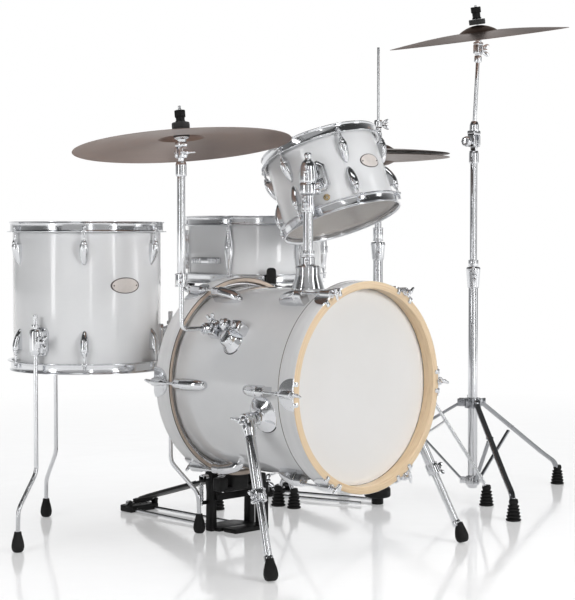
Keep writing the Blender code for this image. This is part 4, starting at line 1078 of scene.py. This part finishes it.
def crash():
    """The bent arm, the tube, the tilter and the crash cymbal."""
    corner = CRASH + (0, 0, 477.0)
    inner = corner - ARM_AXIS * 67.5
    piece("crash_arm_rod", "crash_arm", "chrome",
          tube_path([inner, corner, CRASH + (0, 0, 640)], 5.0, 16, 24), replaces=["crash_arm"])
    parts = [sleeve(CRASH, 571, 806, 8.6, 6.6)]
    parts.append(sleeve(CRASH, 566, 594, 12.8, 7.3))
    parts += [sleeve(CRASH, z, z + 2.4, 13.8, 12) for z in (566.5, 591)]
    parts += wing(CRASH + (-8, -8, 582), (-0.7, -0.7, 0), (0, 0, 1), 5, 26, 11)
    parts.append(turned([(0, 796), (10.6, 796), (11.6, 799), (11.6, 821), (9.5, 827), (0, 828)], CRASH,
                        n=40, reach=1.2))
    parts += block(CRASH + (0, 0, 838), (12, 9, 26), None, 2.6, 4)
    piece("crash_tube_detail", "crash_tube", "chrome", parts, replaces=["crash_tube"])
    axis = unit((0.0085, 0.115, 0.993))
    pivot = CRASH + (0, 0, 846)
    cheek = [(-7, -12), (7, -12), (7.5, 12), (-7.5, 12)]
    facing_y = np.array([[1, 0, 0], [0, 0, -1], [0, 1, 0]], float)
    tilter = cheeks(cheek, 5, 3.6, 1.2, pivot, (0, 9, 0), facing_y)
    tilter += block(pivot + (0, 0, 16.5), (15, 25, 10), None, 2.6)
    tilter.append(rod(pivot + (0, 0, 14), CRASH_CENTRE - axis * 20, 8.5, n=32))
    tilter += [rod(pivot + (0, 13, 0), pivot + (0, 16, 0), 6.2, n=6)]
    tilter += wing(pivot + (0, -12, 0), (-0.35, -1, 0), (1, 0, 0), 6, 30, 13)
    piece("crash_tilter_detail", "crash_tilter", "chrome", tilter, replaces=["crash_tilter"])
    cymbal_seat("crash", "crash_tilter", CRASH_CENTRE, axis, "crash_tilter", 17)
    cymbal_piece("crash_bronze", "crash_cymbal", "crash_cymbal", CRASH_CENTRE, axis, 228.6, 48, 17, 17, 5.5)
    cymbal_nut("crash_top", "crash_nut", "crash_nut", CRASH_CENTRE, axis, 18.5, 41)


# ---------------------------------------------------------------- floor tom
FLOOR_R, FLOOR_LOW, FLOOR_HIGH = 165.0, 386.0, 692.0
FLOOR_LUGS = [-129.7 + 60 * i for i in range(6)]
FLOOR_NUT_DROP = 36
FLOOR_LEG_R = FLOOR_R + 22
FLOOR_LEGS = {"a": -164.0, "b": 76.0, "c": -44.0}


def leg_bracket(a):
    """The cast leg holder: base plate, block round the leg, and wing bolt."""
    r = FLOOR_R
    shape = [(-14, -31), (14, -31), (19, -20), (19, 20), (14, 31), (-14, 31), (-19, 20), (-19, -20)]
    parts = placed(plate(soften(shape, 5, True, 4), -2, 7, 2.4), (r, 0, 444), ON_SIDE)
    barrel = [(5.6, 416), (10.5, 416), (13.4, 423), (13.4, 465), (10.5, 472), (5.6, 472)]
    parts += hollow(barrel, (FLOOR_LEG_R, 0, 0), 40, 2.6)
    parts += block((r + 13, 3, 444), (19, 30, 50), None, 5)
    parts += block((r + 24, 12, 444), (16, 12, 26), None, 4)
    parts += wing((r + 25, 17, 446), (0.35, 1, -0.1), (0, 0.2, 1), 6, 28, 12)
    return around(parts, a)


def floor_tom():
    def lugs(a):
        return [tom_lug(FLOOR_R, a, FLOOR_HIGH - FLOOR_NUT_DROP, 1),
                tom_lug(FLOOR_R, a, FLOOR_LOW + FLOOR_NUT_DROP, -1)]
    drum("floor_tom", "kit", FLOOR_TOM, np.eye(3), FLOOR_R, FLOOR_LOW, FLOOR_HIGH, FLOOR_LUGS, lugs,
         "clear", nodes="ft", nut_drop=FLOOR_NUT_DROP)
    brackets = placed([leg_bracket(a) for a in FLOOR_LEGS.values()], FLOOR_TOM)
    piece("floor_tom_brackets", "kit", "chrome", brackets, replaces=["ft_shell"])
    badge("floor_tom_badge", "kit", FLOOR_R, -97.5, 565.0, FLOOR_TOM, np.eye(3))
    vent("floor_tom_vent", "kit", FLOOR_R, 20, 540, FLOOR_TOM)
    for key, a in FLOOR_LEGS.items():
        top, foot = FLOOR_LEG_R, FLOOR_LEG_R + 64
        line = [(top, 0, 502), (top, 0, 163), (foot - 2, 0, 90), (foot, 0, 30)]
        leg = [tube_path(line, 4.8, 14, 24), rod((top, 0, 495), (top, 0, 503), 5.0, n=24)]
        leg += [collar((top, 0, 474), (top, 0, 482), 8.4, 4.6)]
        piece(f"floor_tom_leg_{key}", f"ft_leg_{key}", "chrome", around(leg, a, FLOOR_TOM),
              replaces=[f"ft_leg_{key}"])
        tip = around(placed(bulb_foot(44, 13.6), (foot, 0, 0)), a, FLOOR_TOM)
        piece(f"floor_tom_tip_{key}", f"ft_leg_{key}", "rubber", tip, replaces=[f"ft_leg_{key}"])


# ---------------------------------------------------------------- snare drum and stand
SNARE_R, SNARE_LOW, SNARE_HIGH = 165.0, 571.0, 709.0
SNARE_LUGS = [-154 + 60 * i for i in range(6)]
STRAINER = 2.0


def snare_lug(a):
    """A double-ended lug with a swivel nut at each end."""
    low, high = SNARE_LOW + SNARE_NUT_DROP, SNARE_HIGH - SNARE_NUT_DROP
    long = high - low
    half = [(0, 4.6, 13.4), (1.5, 5.4, 15.4), (12, 6.2, 16.2), (24, 8.6, 17.6), (36, 10.2, 18.6)]
    keys = half + [(long / 2, 10.6, 19)] + [(long - s, w, h) for s, w, h in half[::-1]]
    parts = [casing(keys, polar(SNARE_R, a, low), np.array([0, 0, 1.0]), polar(1, a))]
    for z, up in ((low, -1), (high, 1)):
        stem = polar(SNARE_R + 11.0, a, z)
        parts.append(turned([(0, -3), (4.8, -3), (4.8, 2.5), (4.1, 3.5), (4.1, 7), (0, 7)], stem,
                            (0, 0, up), 24))
    parts += around(block((SNARE_R + 19, 0, (low + high) / 2), (2.6, 9, 16), None, 1.1, 2), a)
    return parts


def snare_fittings():
    """Strainer, lever, butt plate and the wires under the lower head."""
    def at_side(shapes, a):
        return around(shapes, a, SNARE)
    r = SNARE_R
    body = [block((r + 4, 0, 640), (13, 27, 60), None, 3, 5),
            block((r + 8, 0, 612), (14, 62, 15), None, 3.5, 6)]
    body += [rod((r + 15, y, 612), (r + 17.4, y, 612), 4.4, n=24) for y in (-24, 24)]
    body += [turned([(0, 0), (6, 0), (6, 3), (8, 4), (8, 12), (6.5, 13), (0, 13)], (r + 6, 0, 671),
                    (0, 0, 1), 24)]
    curve = [polar(r + 6, y / r * 57.3) - (r, 0, 0) for y in range(-46, 47, 4)]
    bar = placed(sweep(curve, rounded_box_outline(9, 15, 3), (1, 0, 0)), (r, 0, 614))
    ribs = [around(block((r + 11, 0, 614), (4, 3.4, 14), None, 1.2), b) for b in (-4, -7, -10, -13)]
    butt = [bar, ribs, around(rod((r + 9, 0, 614), (r + 13, 0, 614), 5.4, n=28), 12)]
    piece("snare_strainer", "snare", "chrome", at_side(body, STRAINER), at_side(butt, STRAINER + 180),
          replaces=["sn_shell"])
    lever = [rod((15.4, -11, 656), (15.4, 11, 656), 4.5, n=24),
             block((16.4, 0, 634), (5, 14, 48), None, 2, 3), block((21, 0, 610), (12, 12, 7), None, 2.4, 3)]
    piece("snare_lever_detail", "snare_lever", "chrome", at_side(placed(lever, (r, 0, 0)), STRAINER),
          replaces=["sn_lever"])
    wires = []
    for i in range(20):
        y = (i - 9.5) * 2.1
        wires.append(rod((-118, y, 567.4), (118, y, 567.4), 0.55, n=8, edge=0.1))
    wires += [block((s * 121, 0, 567.2), (10, 46, 2.0), None, 0.8) for s in (-1, 1)]
    wires += [block((s * 141, 0, 566.9), (36, 12, 0.8), None, 0.3) for s in (-1, 1)]
    piece("snare_wires", "snare", "steel", at_side(wires, STRAINER))


def snare_stand():
    """The tripod, its column and the three-armed basket."""
    parts = [sleeve(SNARE, 60, 420, 11, 8.6)]
    parts.append(hollow([(12.4, 396), (15, 399), (16.4, 420), (15.4, 426), (9.8, 426), (9.8, 396)], SNARE,
                        44, 1.2))
    parts += wing(SNARE + (-13, -6, 412), (-1, -0.5, 0), (0, 0, 1), 5, 28, 11)
    parts.append(hollow([(10.6, 236), (17, 236), (17, 262), (10.6, 262)], SNARE, 44, 1.2))
    parts.append(hollow([(10.6, 60), (17, 60), (17, 84), (10.6, 84)], SNARE, 44, 1.2))
    feet = []
    bar = rounded_box_outline(14.0, 7.0, 2.0)
    for a in (164.0, -61.0, 50.0):
        leg = [sweep(soften([(16, 0, 250), (70, 0, 130), (102, 0, 34)], 12, steps=5), bar, (0, 1, 0))]
        leg.append(sweep(soften([(16, 0, 74), (52, 0, 84), (78, 0, 108)], 8, steps=4),
                         rounded_box_outline(9, 5, 1.6), (0, 1, 0)))
        leg += [rod((x, -9.5, z), (x, 9.5, z), 3.2, n=18) for x, z in ((20, 247), (20, 74), (76, 108))]
        parts += around(leg, a, SNARE)
        feet += around(placed(ribbed_foot(0.94, 50), (102, 0, 0)), a, SNARE)
    piece("snare_base_detail", "kit", "chrome", parts, replaces=["snare_base"])
    piece("snare_base_feet", "kit", "rubber", feet, replaces=["snare_base"])
    top = [upright(SNARE, 320, 472, 7.9, n=30), upright(SNARE, 462, 500, 15, n=36)]
    top.append(turned([(0, 488), (24, 489), (27, 493), (27, 505), (24, 509), (0, 510)], SNARE, n=44,
                      reach=1.4))
    top.append(upright(SNARE, 500, 524, 12, n=30))
    tips = []
    strip = rounded_box_outline(14.0, 6.0, 2.0)
    for a in (-121.5, -1.5, 118.5):
        arm = sweep(soften([(10, 0, 500), (70, 0, 512), (150, 0, 528), (184, 0, 537), (191, 0, 562)], 10,
                           steps=5), strip, (0, 1, 0))
        top += around(arm, a, SNARE)
        arch = soften([(-11, -20), (11, -20), (11, 26), (-11, 26)], 10.5, True, 6)
        grip = placed(plate(arch, -6.5, 6.5, 3.4), (191, 0, 572), ON_SIDE)
        grip += block((177, 0, 553.6), (34, 23, 11), None, 3.2, 5)
        tips += around(grip, a, SNARE)
    piece("snare_basket_detail", "snare_basket", "chrome", top, replaces=["snare_basket"])
    piece("snare_basket_tips", "snare_basket", "rubber", tips, replaces=["snare_basket"])


def snare():
    drum("snare", "snare", SNARE, np.eye(3), SNARE_R, SNARE_LOW, SNARE_HIGH, SNARE_LUGS, snare_lug, "clear",
         4.5, "sn")
    snare_fittings()
    snare_stand()


# ---------------------------------------------------------------- hi-hat
PEDAL_SIDE = 106.0


def hihat():
    """The hi-hat's base, legs, footplate and rods; the board and the top follow."""
    at = HIHAT
    parts = [sleeve(at, 18, 632, 12, 8.9)]
    throat = [(13.4, 612), (15.4, 618), (18.4, 652), (17.2, 658), (10.4, 658), (10.4, 612)]
    parts.append(hollow(throat, at, 48, 1.4))
    parts += wing(at + (-13, -13, 640), (-0.7, -0.7, 0), (0, 0, 1), 6, 32, 15)
    for low, high, r in ((440, 466, 20), (96, 118, 18)):
        parts.append(hollow([(11.6, low), (r, low), (r, high), (11.6, high)], at, 44, 1.6))
    bar = rounded_box_outline(15.0, 8.0, 2.4)
    feet = []
    for a, r in ((-49.0, 272.0), (141.0, 250.0)):
        leg = [sweep(soften([(18, 0, 455), (r - 8, 0, 62), (r, 0, 34)], 12, steps=5), bar, (0, 1, 0))]
        leg.append(sweep([(16, 0, 106), (r * 0.62, 0, 212)], rounded_box_outline(11, 5, 1.8), (0, 1, 0)))
        leg += [rod((x, -10.5, z), (x, 10.5, z), 3.6, n=18)
                for x, z in ((22, 453), (18, 106), (r * 0.62, 212))]
        parts += around(leg, a, at)
        feet += around(placed(ribbed_foot(1.0, 52), (r, 0, 0)), a, at)
    piece("hihat_base_detail", "kit", "chrome", parts, replaces=["hihat_base"])
    piece("hihat_base_feet", "kit", "rubber", feet, replaces=["hihat_base"])
    heel = [(284, -42), (334, -42), (342, -34), (342, 34), (334, 42), (284, 42)]
    puck = [(0, 1), (15, 1), (15, 17), (30, 19), (33, 22), (33, 40), (30, 44), (15, 46), (0, 46)]
    dark = [turned(puck, n=56, reach=2.0), plate(soften(heel, 5, True, 4), 1, 15, 2.6)]
    dark += [block((280, s * 40, 18), (16, 9, 20), None, 2.4) for s in (-1, 1)]
    piece("hihat_footplate", "kit", "black", around(dark, PEDAL_SIDE, at), replaces=["hihat_base"])
    rods = [tube_path([(30, s * 34, 6), (120, s * 34, 6), (292, s * 30, 6)], 3.6, 20) for s in (-1, 1)]
    rods += [rod((276, s * 44.5, 24), (276, s * 35.5, 24), 6.6, n=24) for s in (-1, 1)]
    piece("hihat_radius_rods", "kit", "chrome", around(rods, PEDAL_SIDE, at), replaces=["hihat_base"])
    hihat_board(facing(PEDAL_SIDE))
    hihat_top(at)


def hihat_board(turn):
    """The footboard from its heel hinge up to the toe by the tube, and the hinge pin."""
    heel = HIHAT + turn @ np.array([276.0, 0, 24.0])
    toe = HIHAT + turn @ np.array([24.0, 0, 92.0])
    along = unit(toe - heel)
    side = turn @ np.array([0, 1.0, 0])
    lay = np.stack([side, along, np.cross(side, along)], axis=1)
    parts = placed(board_shape(226.0, 1), heel, lay)
    parts += placed(block((0, 5, 3.5), (54, 14, 11), None, 2.4), heel, lay)
    piece("hihat_board_detail", "hihat_board", "black", parts, replaces=["hihat_board"])
    piece("hihat_board_pin", "hihat_board", "chrome", rod(heel - side * 49, heel + side * 49, 2.9, n=16),
          replaces=["hihat_board"])


def hihat_top(at):
    """The upper tube, both cymbals, the pull rod and the clutch."""
    parts = [sleeve(at, 506, 826, 8.4, 4.6)]
    parts.append(sleeve(at, 660.5, 694, 12.5, 8.0))
    parts += [sleeve(at, z, z + 2.4, 13.4, 12) for z in (661, 691)]
    seat = [(7.5, 813), (14, 814), (22, 821), (22.6, 824), (22, 829), (6.2, 831)]
    parts.append(hollow(seat, at, 48, 0.9))
    parts += wing(at + (11, 9, 678), (0.8, 0.6, 0), (0, 0, 1), 4.4, 20, 7, 3.4)
    piece("hihat_tube_detail", "hihat_tube", "chrome", parts, replaces=["hihat_tube"])
    felt = [(6.2, 830.5), (14, 830.5), (14, 845.2), (6.2, 845.2)]
    piece("hihat_seat_felt", "hihat_tube", "felt", hollow(felt, at, 40, 1.6), replaces=["hihat_tube"])
    cymbal_piece("hihat_bottom_bronze", "hihat_tube", "hihat_bottom", at + (0, 0, 846.0), (0, 0, 1), 178,
                 41, 12, 10, 5.6, 1.3, flip=-1, finish="shaded_bronze")
    cymbal_piece("hihat_top_bronze", "hihat_rod", "hihat_top", at + (0, 0, 903.8), (0, 0, 1), 178, 41, 16,
                 10, 5.6, 1.3, finish="shaded_bronze")
    pull = [upright(at, 500, 1141, 3.2, n=20)]
    clutch = [(0, 911.8), (9.2, 911.8), (9.2, 929), (7.4, 931), (7.4, 941), (10.4, 943), (10.8, 946),
              (10.8, 957), (9.4, 961), (0, 961)]
    pull.append(turned(clutch, at, n=40, reach=0.9))
    pull += [placed(collar((0, 0, z), (0, 0, z + 1), 8.1, 7, 30, 0.3), at) for z in (933, 935.4, 937.8)]
    pull.append(turned([(0, 885), (9, 885), (9.6, 888), (9.6, 896), (0, 897)], at, n=36, reach=0.9))
    pull += wing(at + (8, -5, 951), (0.8, -0.6, 0), (0, 0, 1), 4.5, 24, 11)
    piece("hihat_rod_detail", "hihat_rod", "chrome", pull, replaces=["hihat_rod"])
    felts = [hollow([(3.4, 904.8), (15.6, 904.8), (15.6, 911.6), (3.4, 911.6)], at, 40, 1.4)]
    felts.append(hollow([(3.4, 897.2), (9.4, 897.2), (9.4, 902), (3.4, 902)], at, 36, 1.0))
    piece("hihat_clutch_felts", "hihat_rod", "felt", felts, replaces=["hihat_rod"])


# ---------------------------------------------------------------- cymbal stand
BOOM = STAND + (0, 0, 912.0)
BOOM_TOP = STAND + (10.0, -4.0, 1128.0)
BOOM_WAY = unit(BOOM_TOP - BOOM)
STAND_TILT = BOOM_TOP + BOOM_WAY * 18
STAND_AXIS = unit((-0.1747, 0.004, 0.985))
STAND_CENTRE = STAND_TILT + (-4.0, 0.0, 64.0)
STAND_LEGS = {"a": -3.0, "b": -125.0, "c": 117.0}
LEG_Z, LEG_REACH, LEG_MID = 246.0, 345.0, (150.0, 172.0)


def stand_columns():
    """The cymbal stand's base pipe and its upper tube with the hinge."""
    at = STAND
    parts = [sleeve(at, 26, 545, 12.2, 10.0)]
    cone = [(12.6, 540), (15.2, 541.5), (15.2, 547), (18.2, 584), (18.6, 590), (16.6, 594), (11, 594),
            (11, 540)]
    parts.append(hollow(cone, at, 56, 1.2))
    parts += wing(at + (-12, -12, 572), (-0.7, -0.7, 0), (0, 0, 1), 6, 32, 15)
    foot = [(11.5, 33), (16, 33), (18, 36), (18, 54), (16, 57), (11.5, 57)]
    parts.append(hollow(foot, at, 44, 1.2))
    for a in STAND_LEGS.values():
        ears = [block((23, s * 8, 45), (16, 3.4, 15), None, 1.2, 4) for s in (-1, 1)]
        parts += around(ears, a, at)
    piece("stand_base_detail", "kit", "chrome", parts, replaces=["stand_base"])
    parts = [upright(at, 330, 866, 9.3, n=36), sleeve(at, 594.5, 612, 13, 8.8)]
    hinge = [(0, 858), (11.8, 858), (12.6, 861), (12.6, 884), (10.6, 890), (0, 892)]
    parts.append(turned(hinge, at, n=40, reach=1.4))
    parts += block(at + (0, 0, 903), (9, 19, 34), None, 3, 3.5)
    parts += block(at + (0, 0, 886), (15, 20, 10), None, 2.6)
    piece("stand_tube_detail", "stand_tube", "chrome", parts, replaces=["stand_tube"])


def stand_boom():
    """The short boom in its hinge, with the knob and the tilter's seat."""
    parts = cheeks([(-11, -12), (11, -12), (11, 20), (-11, 20)], 6, 4, 1.6, BOOM, (9.4, 0, 0))
    parts += block(BOOM + (0, 0, 24), (27, 24, 12), None, 3)
    parts.append(rod(BOOM + (0, 0, 24), BOOM_TOP, 5.1, n=28))
    socket = [(0, 0), (12, 0), (12, 20), (9.5, 27), (7.5, 30), (0, 30)]
    parts.append(turned(socket, BOOM + (0, 0, 24), BOOM_WAY, 36, 1.6))
    parts += [rod(BOOM + BOOM_WAY * z, BOOM + BOOM_WAY * (z + 1.4), 5.7, n=28) for z in (92, 152)]
    knob = [(0, 0), (6.2, 0), (6.2, 14), (5, 16), (5, 22), (10, 24), (13.5, 27), (13.5, 36), (10, 40),
            (0, 40)]
    parts.append(turned(knob, BOOM + (-13, 0, 0), (-1, -0.35, 0), 8, 2.2))
    parts.append(rod(BOOM + (13, 0, 0), BOOM + (17, 0, 0), 6.4, n=6))
    parts.append(turned([(0, 0), (9.8, 0), (9.8, 14), (8, 17), (0, 17)], BOOM_TOP - BOOM_WAY * 12, BOOM_WAY,
                        36, 1.2))
    parts += block(BOOM_TOP + BOOM_WAY * 12, (8, 16, 20), None, 2.4, 3)
    piece("stand_boom_detail", "stand_boom", "chrome", parts, replaces=["stand_boom"])


def stand_head():
    """The tilter, the cymbal and its nut."""
    parts = cheeks([(-8, -12), (8, -12), (8, 14), (-8, 14)], 5, 3.5, 1.4, STAND_TILT + (0, 0, 2), (8, 0, 0))
    parts += block(STAND_TILT + (0, 0, 17), (23, 16, 9), None, 2.6)
    parts.append(rod(STAND_TILT + (0, 0, 15), STAND_CENTRE - STAND_AXIS * 20, 8.0, 7.4, n=32))
    parts += wing(STAND_TILT + (11, -2, 2), (1, -0.3, 0), (0, 0, 1), 6, 30, 14)
    piece("stand_tilter_detail", "stand_tilter", "chrome", parts, replaces=["stand_tilter"])
    cymbal_seat("stand", "stand_tilter", STAND_CENTRE, STAND_AXIS, "stand_tilter", 15)
    cymbal_piece("stand_lit_bronze", "stand_cymbal", "stand_cymbal", STAND_CENTRE, STAND_AXIS, 228.6, 48, 17,
                 17, 5.5, finish="lit_bronze")
    cymbal_nut("stand_top", "stand_nut", "stand_nut", STAND_CENTRE, STAND_AXIS, 20.5, 46)


def stand_tripod():
    """The sliding collar, three legs and three braces."""
    at = STAND
    parts = [hollow([(14.4, 232), (21, 232), (21, 258), (14.4, 258)], at, 48, 1.6)]
    for a in STAND_LEGS.values():
        ears = [block((28, s * 9.5, LEG_Z), (20, 4.6, 20), None, 1.6, 6) for s in (-1, 1)]
        pin = [rod((30, -13, LEG_Z), (30, 13, LEG_Z), 3.4, n=20)]
        parts += around([ears, pin], a, at)
    parts += wing(at + polar(19, 57, 246), polar(1, 57), (0, 0, 1), 6, 30, 14)
    piece("stand_collar_detail", "stand_collar", "darker_chrome", parts, replaces=["stand_collar"])
    bar = rounded_box_outline(14.4, 7.4, 2.2)
    thin = rounded_box_outline(9.6, 5.0, 1.8)
    for key, a in STAND_LEGS.items():
        line = [(30, 0, LEG_Z), (LEG_MID[0], 0, LEG_MID[1]), (LEG_REACH - 66, 0, 92),
                (LEG_REACH - 12, 0, 62), (LEG_REACH, 0, 30)]
        leg = [sweep(soften(line, 16, steps=6), bar, (0, 1, 0)),
               rod((30, -6, LEG_Z), (30, 6, LEG_Z), 8, n=28)]
        leg.append(rod((LEG_MID[0], -9, LEG_MID[1]), (LEG_MID[0], 9, LEG_MID[1]), 3.4, n=20))
        name = f"stand_leg_{key}"
        piece(name + "_detail", name, "darker_chrome", around(leg, a, at), replaces=[name])
        foot = around(placed(ribbed_foot(1.0, 52), (LEG_REACH, 0, 0)), a, at)
        piece(name + "_foot", name, "rubber", foot, replaces=[name])
        brace = [sweep([(24, 0, 45), (34, 0, 53), (LEG_MID[0] - 9, 0, LEG_MID[1] - 9.5)], thin, (0, 1, 0))]
        brace.append(rod((24, -5.6, 45), (24, 5.6, 45), 5.4, n=24))
        name = f"stand_brace_{key}"
        piece(name + "_detail", name, "darker_chrome", around(brace, a, at), replaces=[name])


def cymbal_stand():
    stand_columns()
    stand_boom()
    stand_head()
    stand_tripod()


# ---------------------------------------------------------------- studio
CAMERA_AT = (-2.771, -2.662, 0.668)
CAMERA_WAY = (0.7034, 0.7108)
CAMERA_PITCH = math.radians(2.219)
# The room's levels at places from -1 to 1: away from the camera, and upwards.
WORLD_ACROSS = [(-1.0, 0.14), (0.0, 0.20), (0.7, 0.42), (0.95, 1.0)]
WORLD_UP = [(-1.0, 2.4), (-0.05, 1.0), (0.22, 0.95), (0.5, 0.3), (1.0, 0.25)]


def stage_mesh(name, points, faces, material):
    mesh = bpy.data.meshes.new(name)
    mesh.from_pydata(points, [], faces)
    mesh.materials.append(material)
    made = bpy.data.objects.new(name, mesh)
    bpy.context.scene.collection.objects.link(made)
    return made


def glow(name, strength):
    """A plain light-giving material."""
    made = bpy.data.materials.new(name)
    made.use_nodes = True
    tree = made.node_tree
    tree.nodes.clear()
    light = shader_node(tree, "ShaderNodeEmission", {"Color": (1, 1, 1, 1), "Strength": strength})
    out = shader_node(tree, "ShaderNodeOutputMaterial")
    tree.links.new(light.outputs[0], out.inputs["Surface"])
    return made


def studio_floor():
    """A white gloss floor that fades to plain white far away."""
    size, n = 24.0, 96
    ring = [(size * math.cos(2 * math.pi * i / n), size * math.sin(2 * math.pi * i / n), 0)
            for i in range(n)]
    material = blank("studio_floor", (0.9, 0.9, 0.905), 0.1, Emission_Color=(1, 1, 1, 1),
                     Emission_Strength=0.22)
    tree = material.node_tree
    spot = place(material)
    grade(material, noise(material, spot, 3.0, 4), 0.07, 0.15)
    emboss(material, noise(material, spot, 9.0, 2), 0.0012, 0.35)
    far = shader_node(tree, "ShaderNodeVectorMath", {0: spot}, operation="LENGTH").outputs["Value"]
    fade = shader_node(tree, "ShaderNodeMapRange",
                       {"Value": far, "From Min": 1.3, "From Max": 3.2}).outputs[0]
    white = shader_node(tree, "ShaderNodeEmission", {"Color": (1, 1, 1, 1), "Strength": 1.0})
    mix = shader_node(tree, "ShaderNodeMixShader", {0: fade})
    tree.links.new(tree.nodes["Principled BSDF"].outputs[0], mix.inputs[1])
    tree.links.new(white.outputs[0], mix.inputs[2])
    tree.links.new(mix.outputs[0], tree.nodes["Material Output"].inputs["Surface"])
    floor = stage_mesh("studio_floor", ring, [list(range(n))], material)
    floor.visible_diffuse = False


def backdrop():
    """A white dome that only the camera sees."""
    points, faces = rev([(23.5, -0.5), (23.5, 12), (16, 20), (0, 23.5)], 64)
    dome = stage_mesh("studio_backdrop", points.tolist(), faces, glow("backdrop_white", 1.0))
    dome.visible_diffuse = False
    dome.visible_glossy = False
    dome.visible_transmission = False
    dome.visible_shadow = False


def softbox(name, at, target, wide, tall, power):
    """An area light that adds no highlight of its own."""
    data = bpy.data.lights.new(name, "AREA")
    data.shape = "RECTANGLE"
    data.size = wide
    data.size_y = tall
    data.energy = power
    made = bpy.data.objects.new(name, data)
    bpy.context.scene.collection.objects.link(made)
    made.location = at
    way = Vector(target) - Vector(at)
    made.rotation_euler = way.to_track_quat("-Z", "Y").to_euler()
    made.visible_camera = False
    made.visible_glossy = False


def off_floor():
    """A light-linking group of everything but the floor, so that no card shows as a streak on it."""
    name = "off_floor"
    if name in bpy.data.collections:
        return bpy.data.collections[name]
    group = bpy.data.collections.new(name)
    group.objects.link(bpy.data.objects["studio_floor"])
    group.collection_objects[0].light_linking.link_state = "EXCLUDE"
    return group


def strip(name, at, target, wide, tall, level):
    """A bright card that shows only in reflections."""
    turn = basis(np.array(target, float) - np.array(at, float), (0, 0, 1))
    corners = [np.array(at) + turn @ np.array([x * tall / 2, y * wide / 2, 0])
               for x, y in ((-1, -1), (1, -1), (1, 1), (-1, 1))]
    card = stage_mesh(name, [tuple(c) for c in corners], [[0, 1, 2, 3]], glow(name, level))
    card.visible_camera = False
    card.visible_diffuse = False
    card.visible_transmission = False
    card.visible_shadow = False
    card.light_linking.receiver_collection = off_floor()


def studio_world():
    world = bpy.data.worlds.new("studio_world")
    bpy.context.scene.world = world
    world.use_nodes = True
    tree = world.node_tree
    way = shader_node(tree, "ShaderNodeTexCoord").outputs["Generated"]
    beyond = shader_node(tree, "ShaderNodeVectorMath", {0: way, 1: (*CAMERA_WAY, 0)},
                         operation="DOT_PRODUCT")
    height = shader_node(tree, "ShaderNodeSeparateXYZ", {"Vector": way}).outputs["Z"]
    across = world_ramp(tree, beyond.outputs["Value"], WORLD_ACROSS)
    up = world_ramp(tree, height, WORLD_UP)
    level = shader_node(tree, "ShaderNodeMath", {0: across, 1: up}, operation="MULTIPLY").outputs[0]
    background = tree.nodes["Background"]
    background.inputs["Color"].default_value = (0.99, 0.995, 1.0, 1)
    tree.links.new(level, background.inputs["Strength"])


def world_ramp(tree, value, stops):
    """Levels at places from -1 to 1."""
    share = shader_node(tree, "ShaderNodeMapRange",
                        {"Value": value, "From Min": -1.0, "From Max": 1.0}).outputs[0]
    ramp = shader_node(tree, "ShaderNodeValToRGB", {"Fac": share})
    while len(ramp.color_ramp.elements) < len(stops):
        ramp.color_ramp.elements.new(0.5)
    for element, (at, level) in zip(ramp.color_ramp.elements, stops):
        element.position = (at + 1) / 2
        element.color = (level, level, level, 1)
    return ramp.outputs["Color"]



def studio():
    studio_world()
    studio_floor()
    backdrop()
    softbox("top_light", (0.0, 0.0, 3.6), (0, 0, 0), 4.4, 4.4, 80)
    softbox("left_light", (-3.8, -0.7, 1.3), (-0.2, 0, 0.55), 1.6, 1.8, 50)
    softbox("right_light", (0.0, -4.0, 1.3), (0.1, 0, 0.55), 1.6, 1.8, 92)
    middle = (-0.2, 0.1, 0.6)
    strip("strip_fill", (-3.4, -3.5, 1.6), middle, 7.0, 4.4, 0.42)
    strip("strip_overhead", (-1.2, -1.2, 3.3), middle, 2.6, 0.7, 2.4)
    strip("strip_right", (-0.2, -3.9, 1.3), middle, 0.5, 2.8, 5.0)
    strip("strip_far_right", (2.6, -3.2, 1.3), middle, 0.8, 2.8, 2.2)
    strip("strip_camera", (-2.7, -3.2, 1.3), middle, 0.18, 2.8, 4.0)
    strip("strip_left", (-4.2, 0.2, 1.3), middle, 0.45, 2.8, 4.5)


def camera():
    data = bpy.data.cameras.new("photo_view")
    data.lens = 96.0
    data.sensor_width = 36.0
    made = bpy.data.objects.new("photo_view", data)
    bpy.context.scene.collection.objects.link(made)
    made.location = CAMERA_AT
    flat_way = unit((*CAMERA_WAY, 0))
    way = flat_way * math.cos(CAMERA_PITCH) - np.array([0, 0, math.sin(CAMERA_PITCH)])
    made.rotation_mode = "QUATERNION"
    made.rotation_quaternion = Vector(way).to_track_quat("-Z", "Y")
    bpy.context.scene.camera = made


camera()
bass_drum()
riser()
bass_pedal()
rack_tom()
crash()
floor_tom()
snare()
hihat()
cymbal_stand()
studio()
bpy.context.scene.view_settings.view_transform = "Standard"
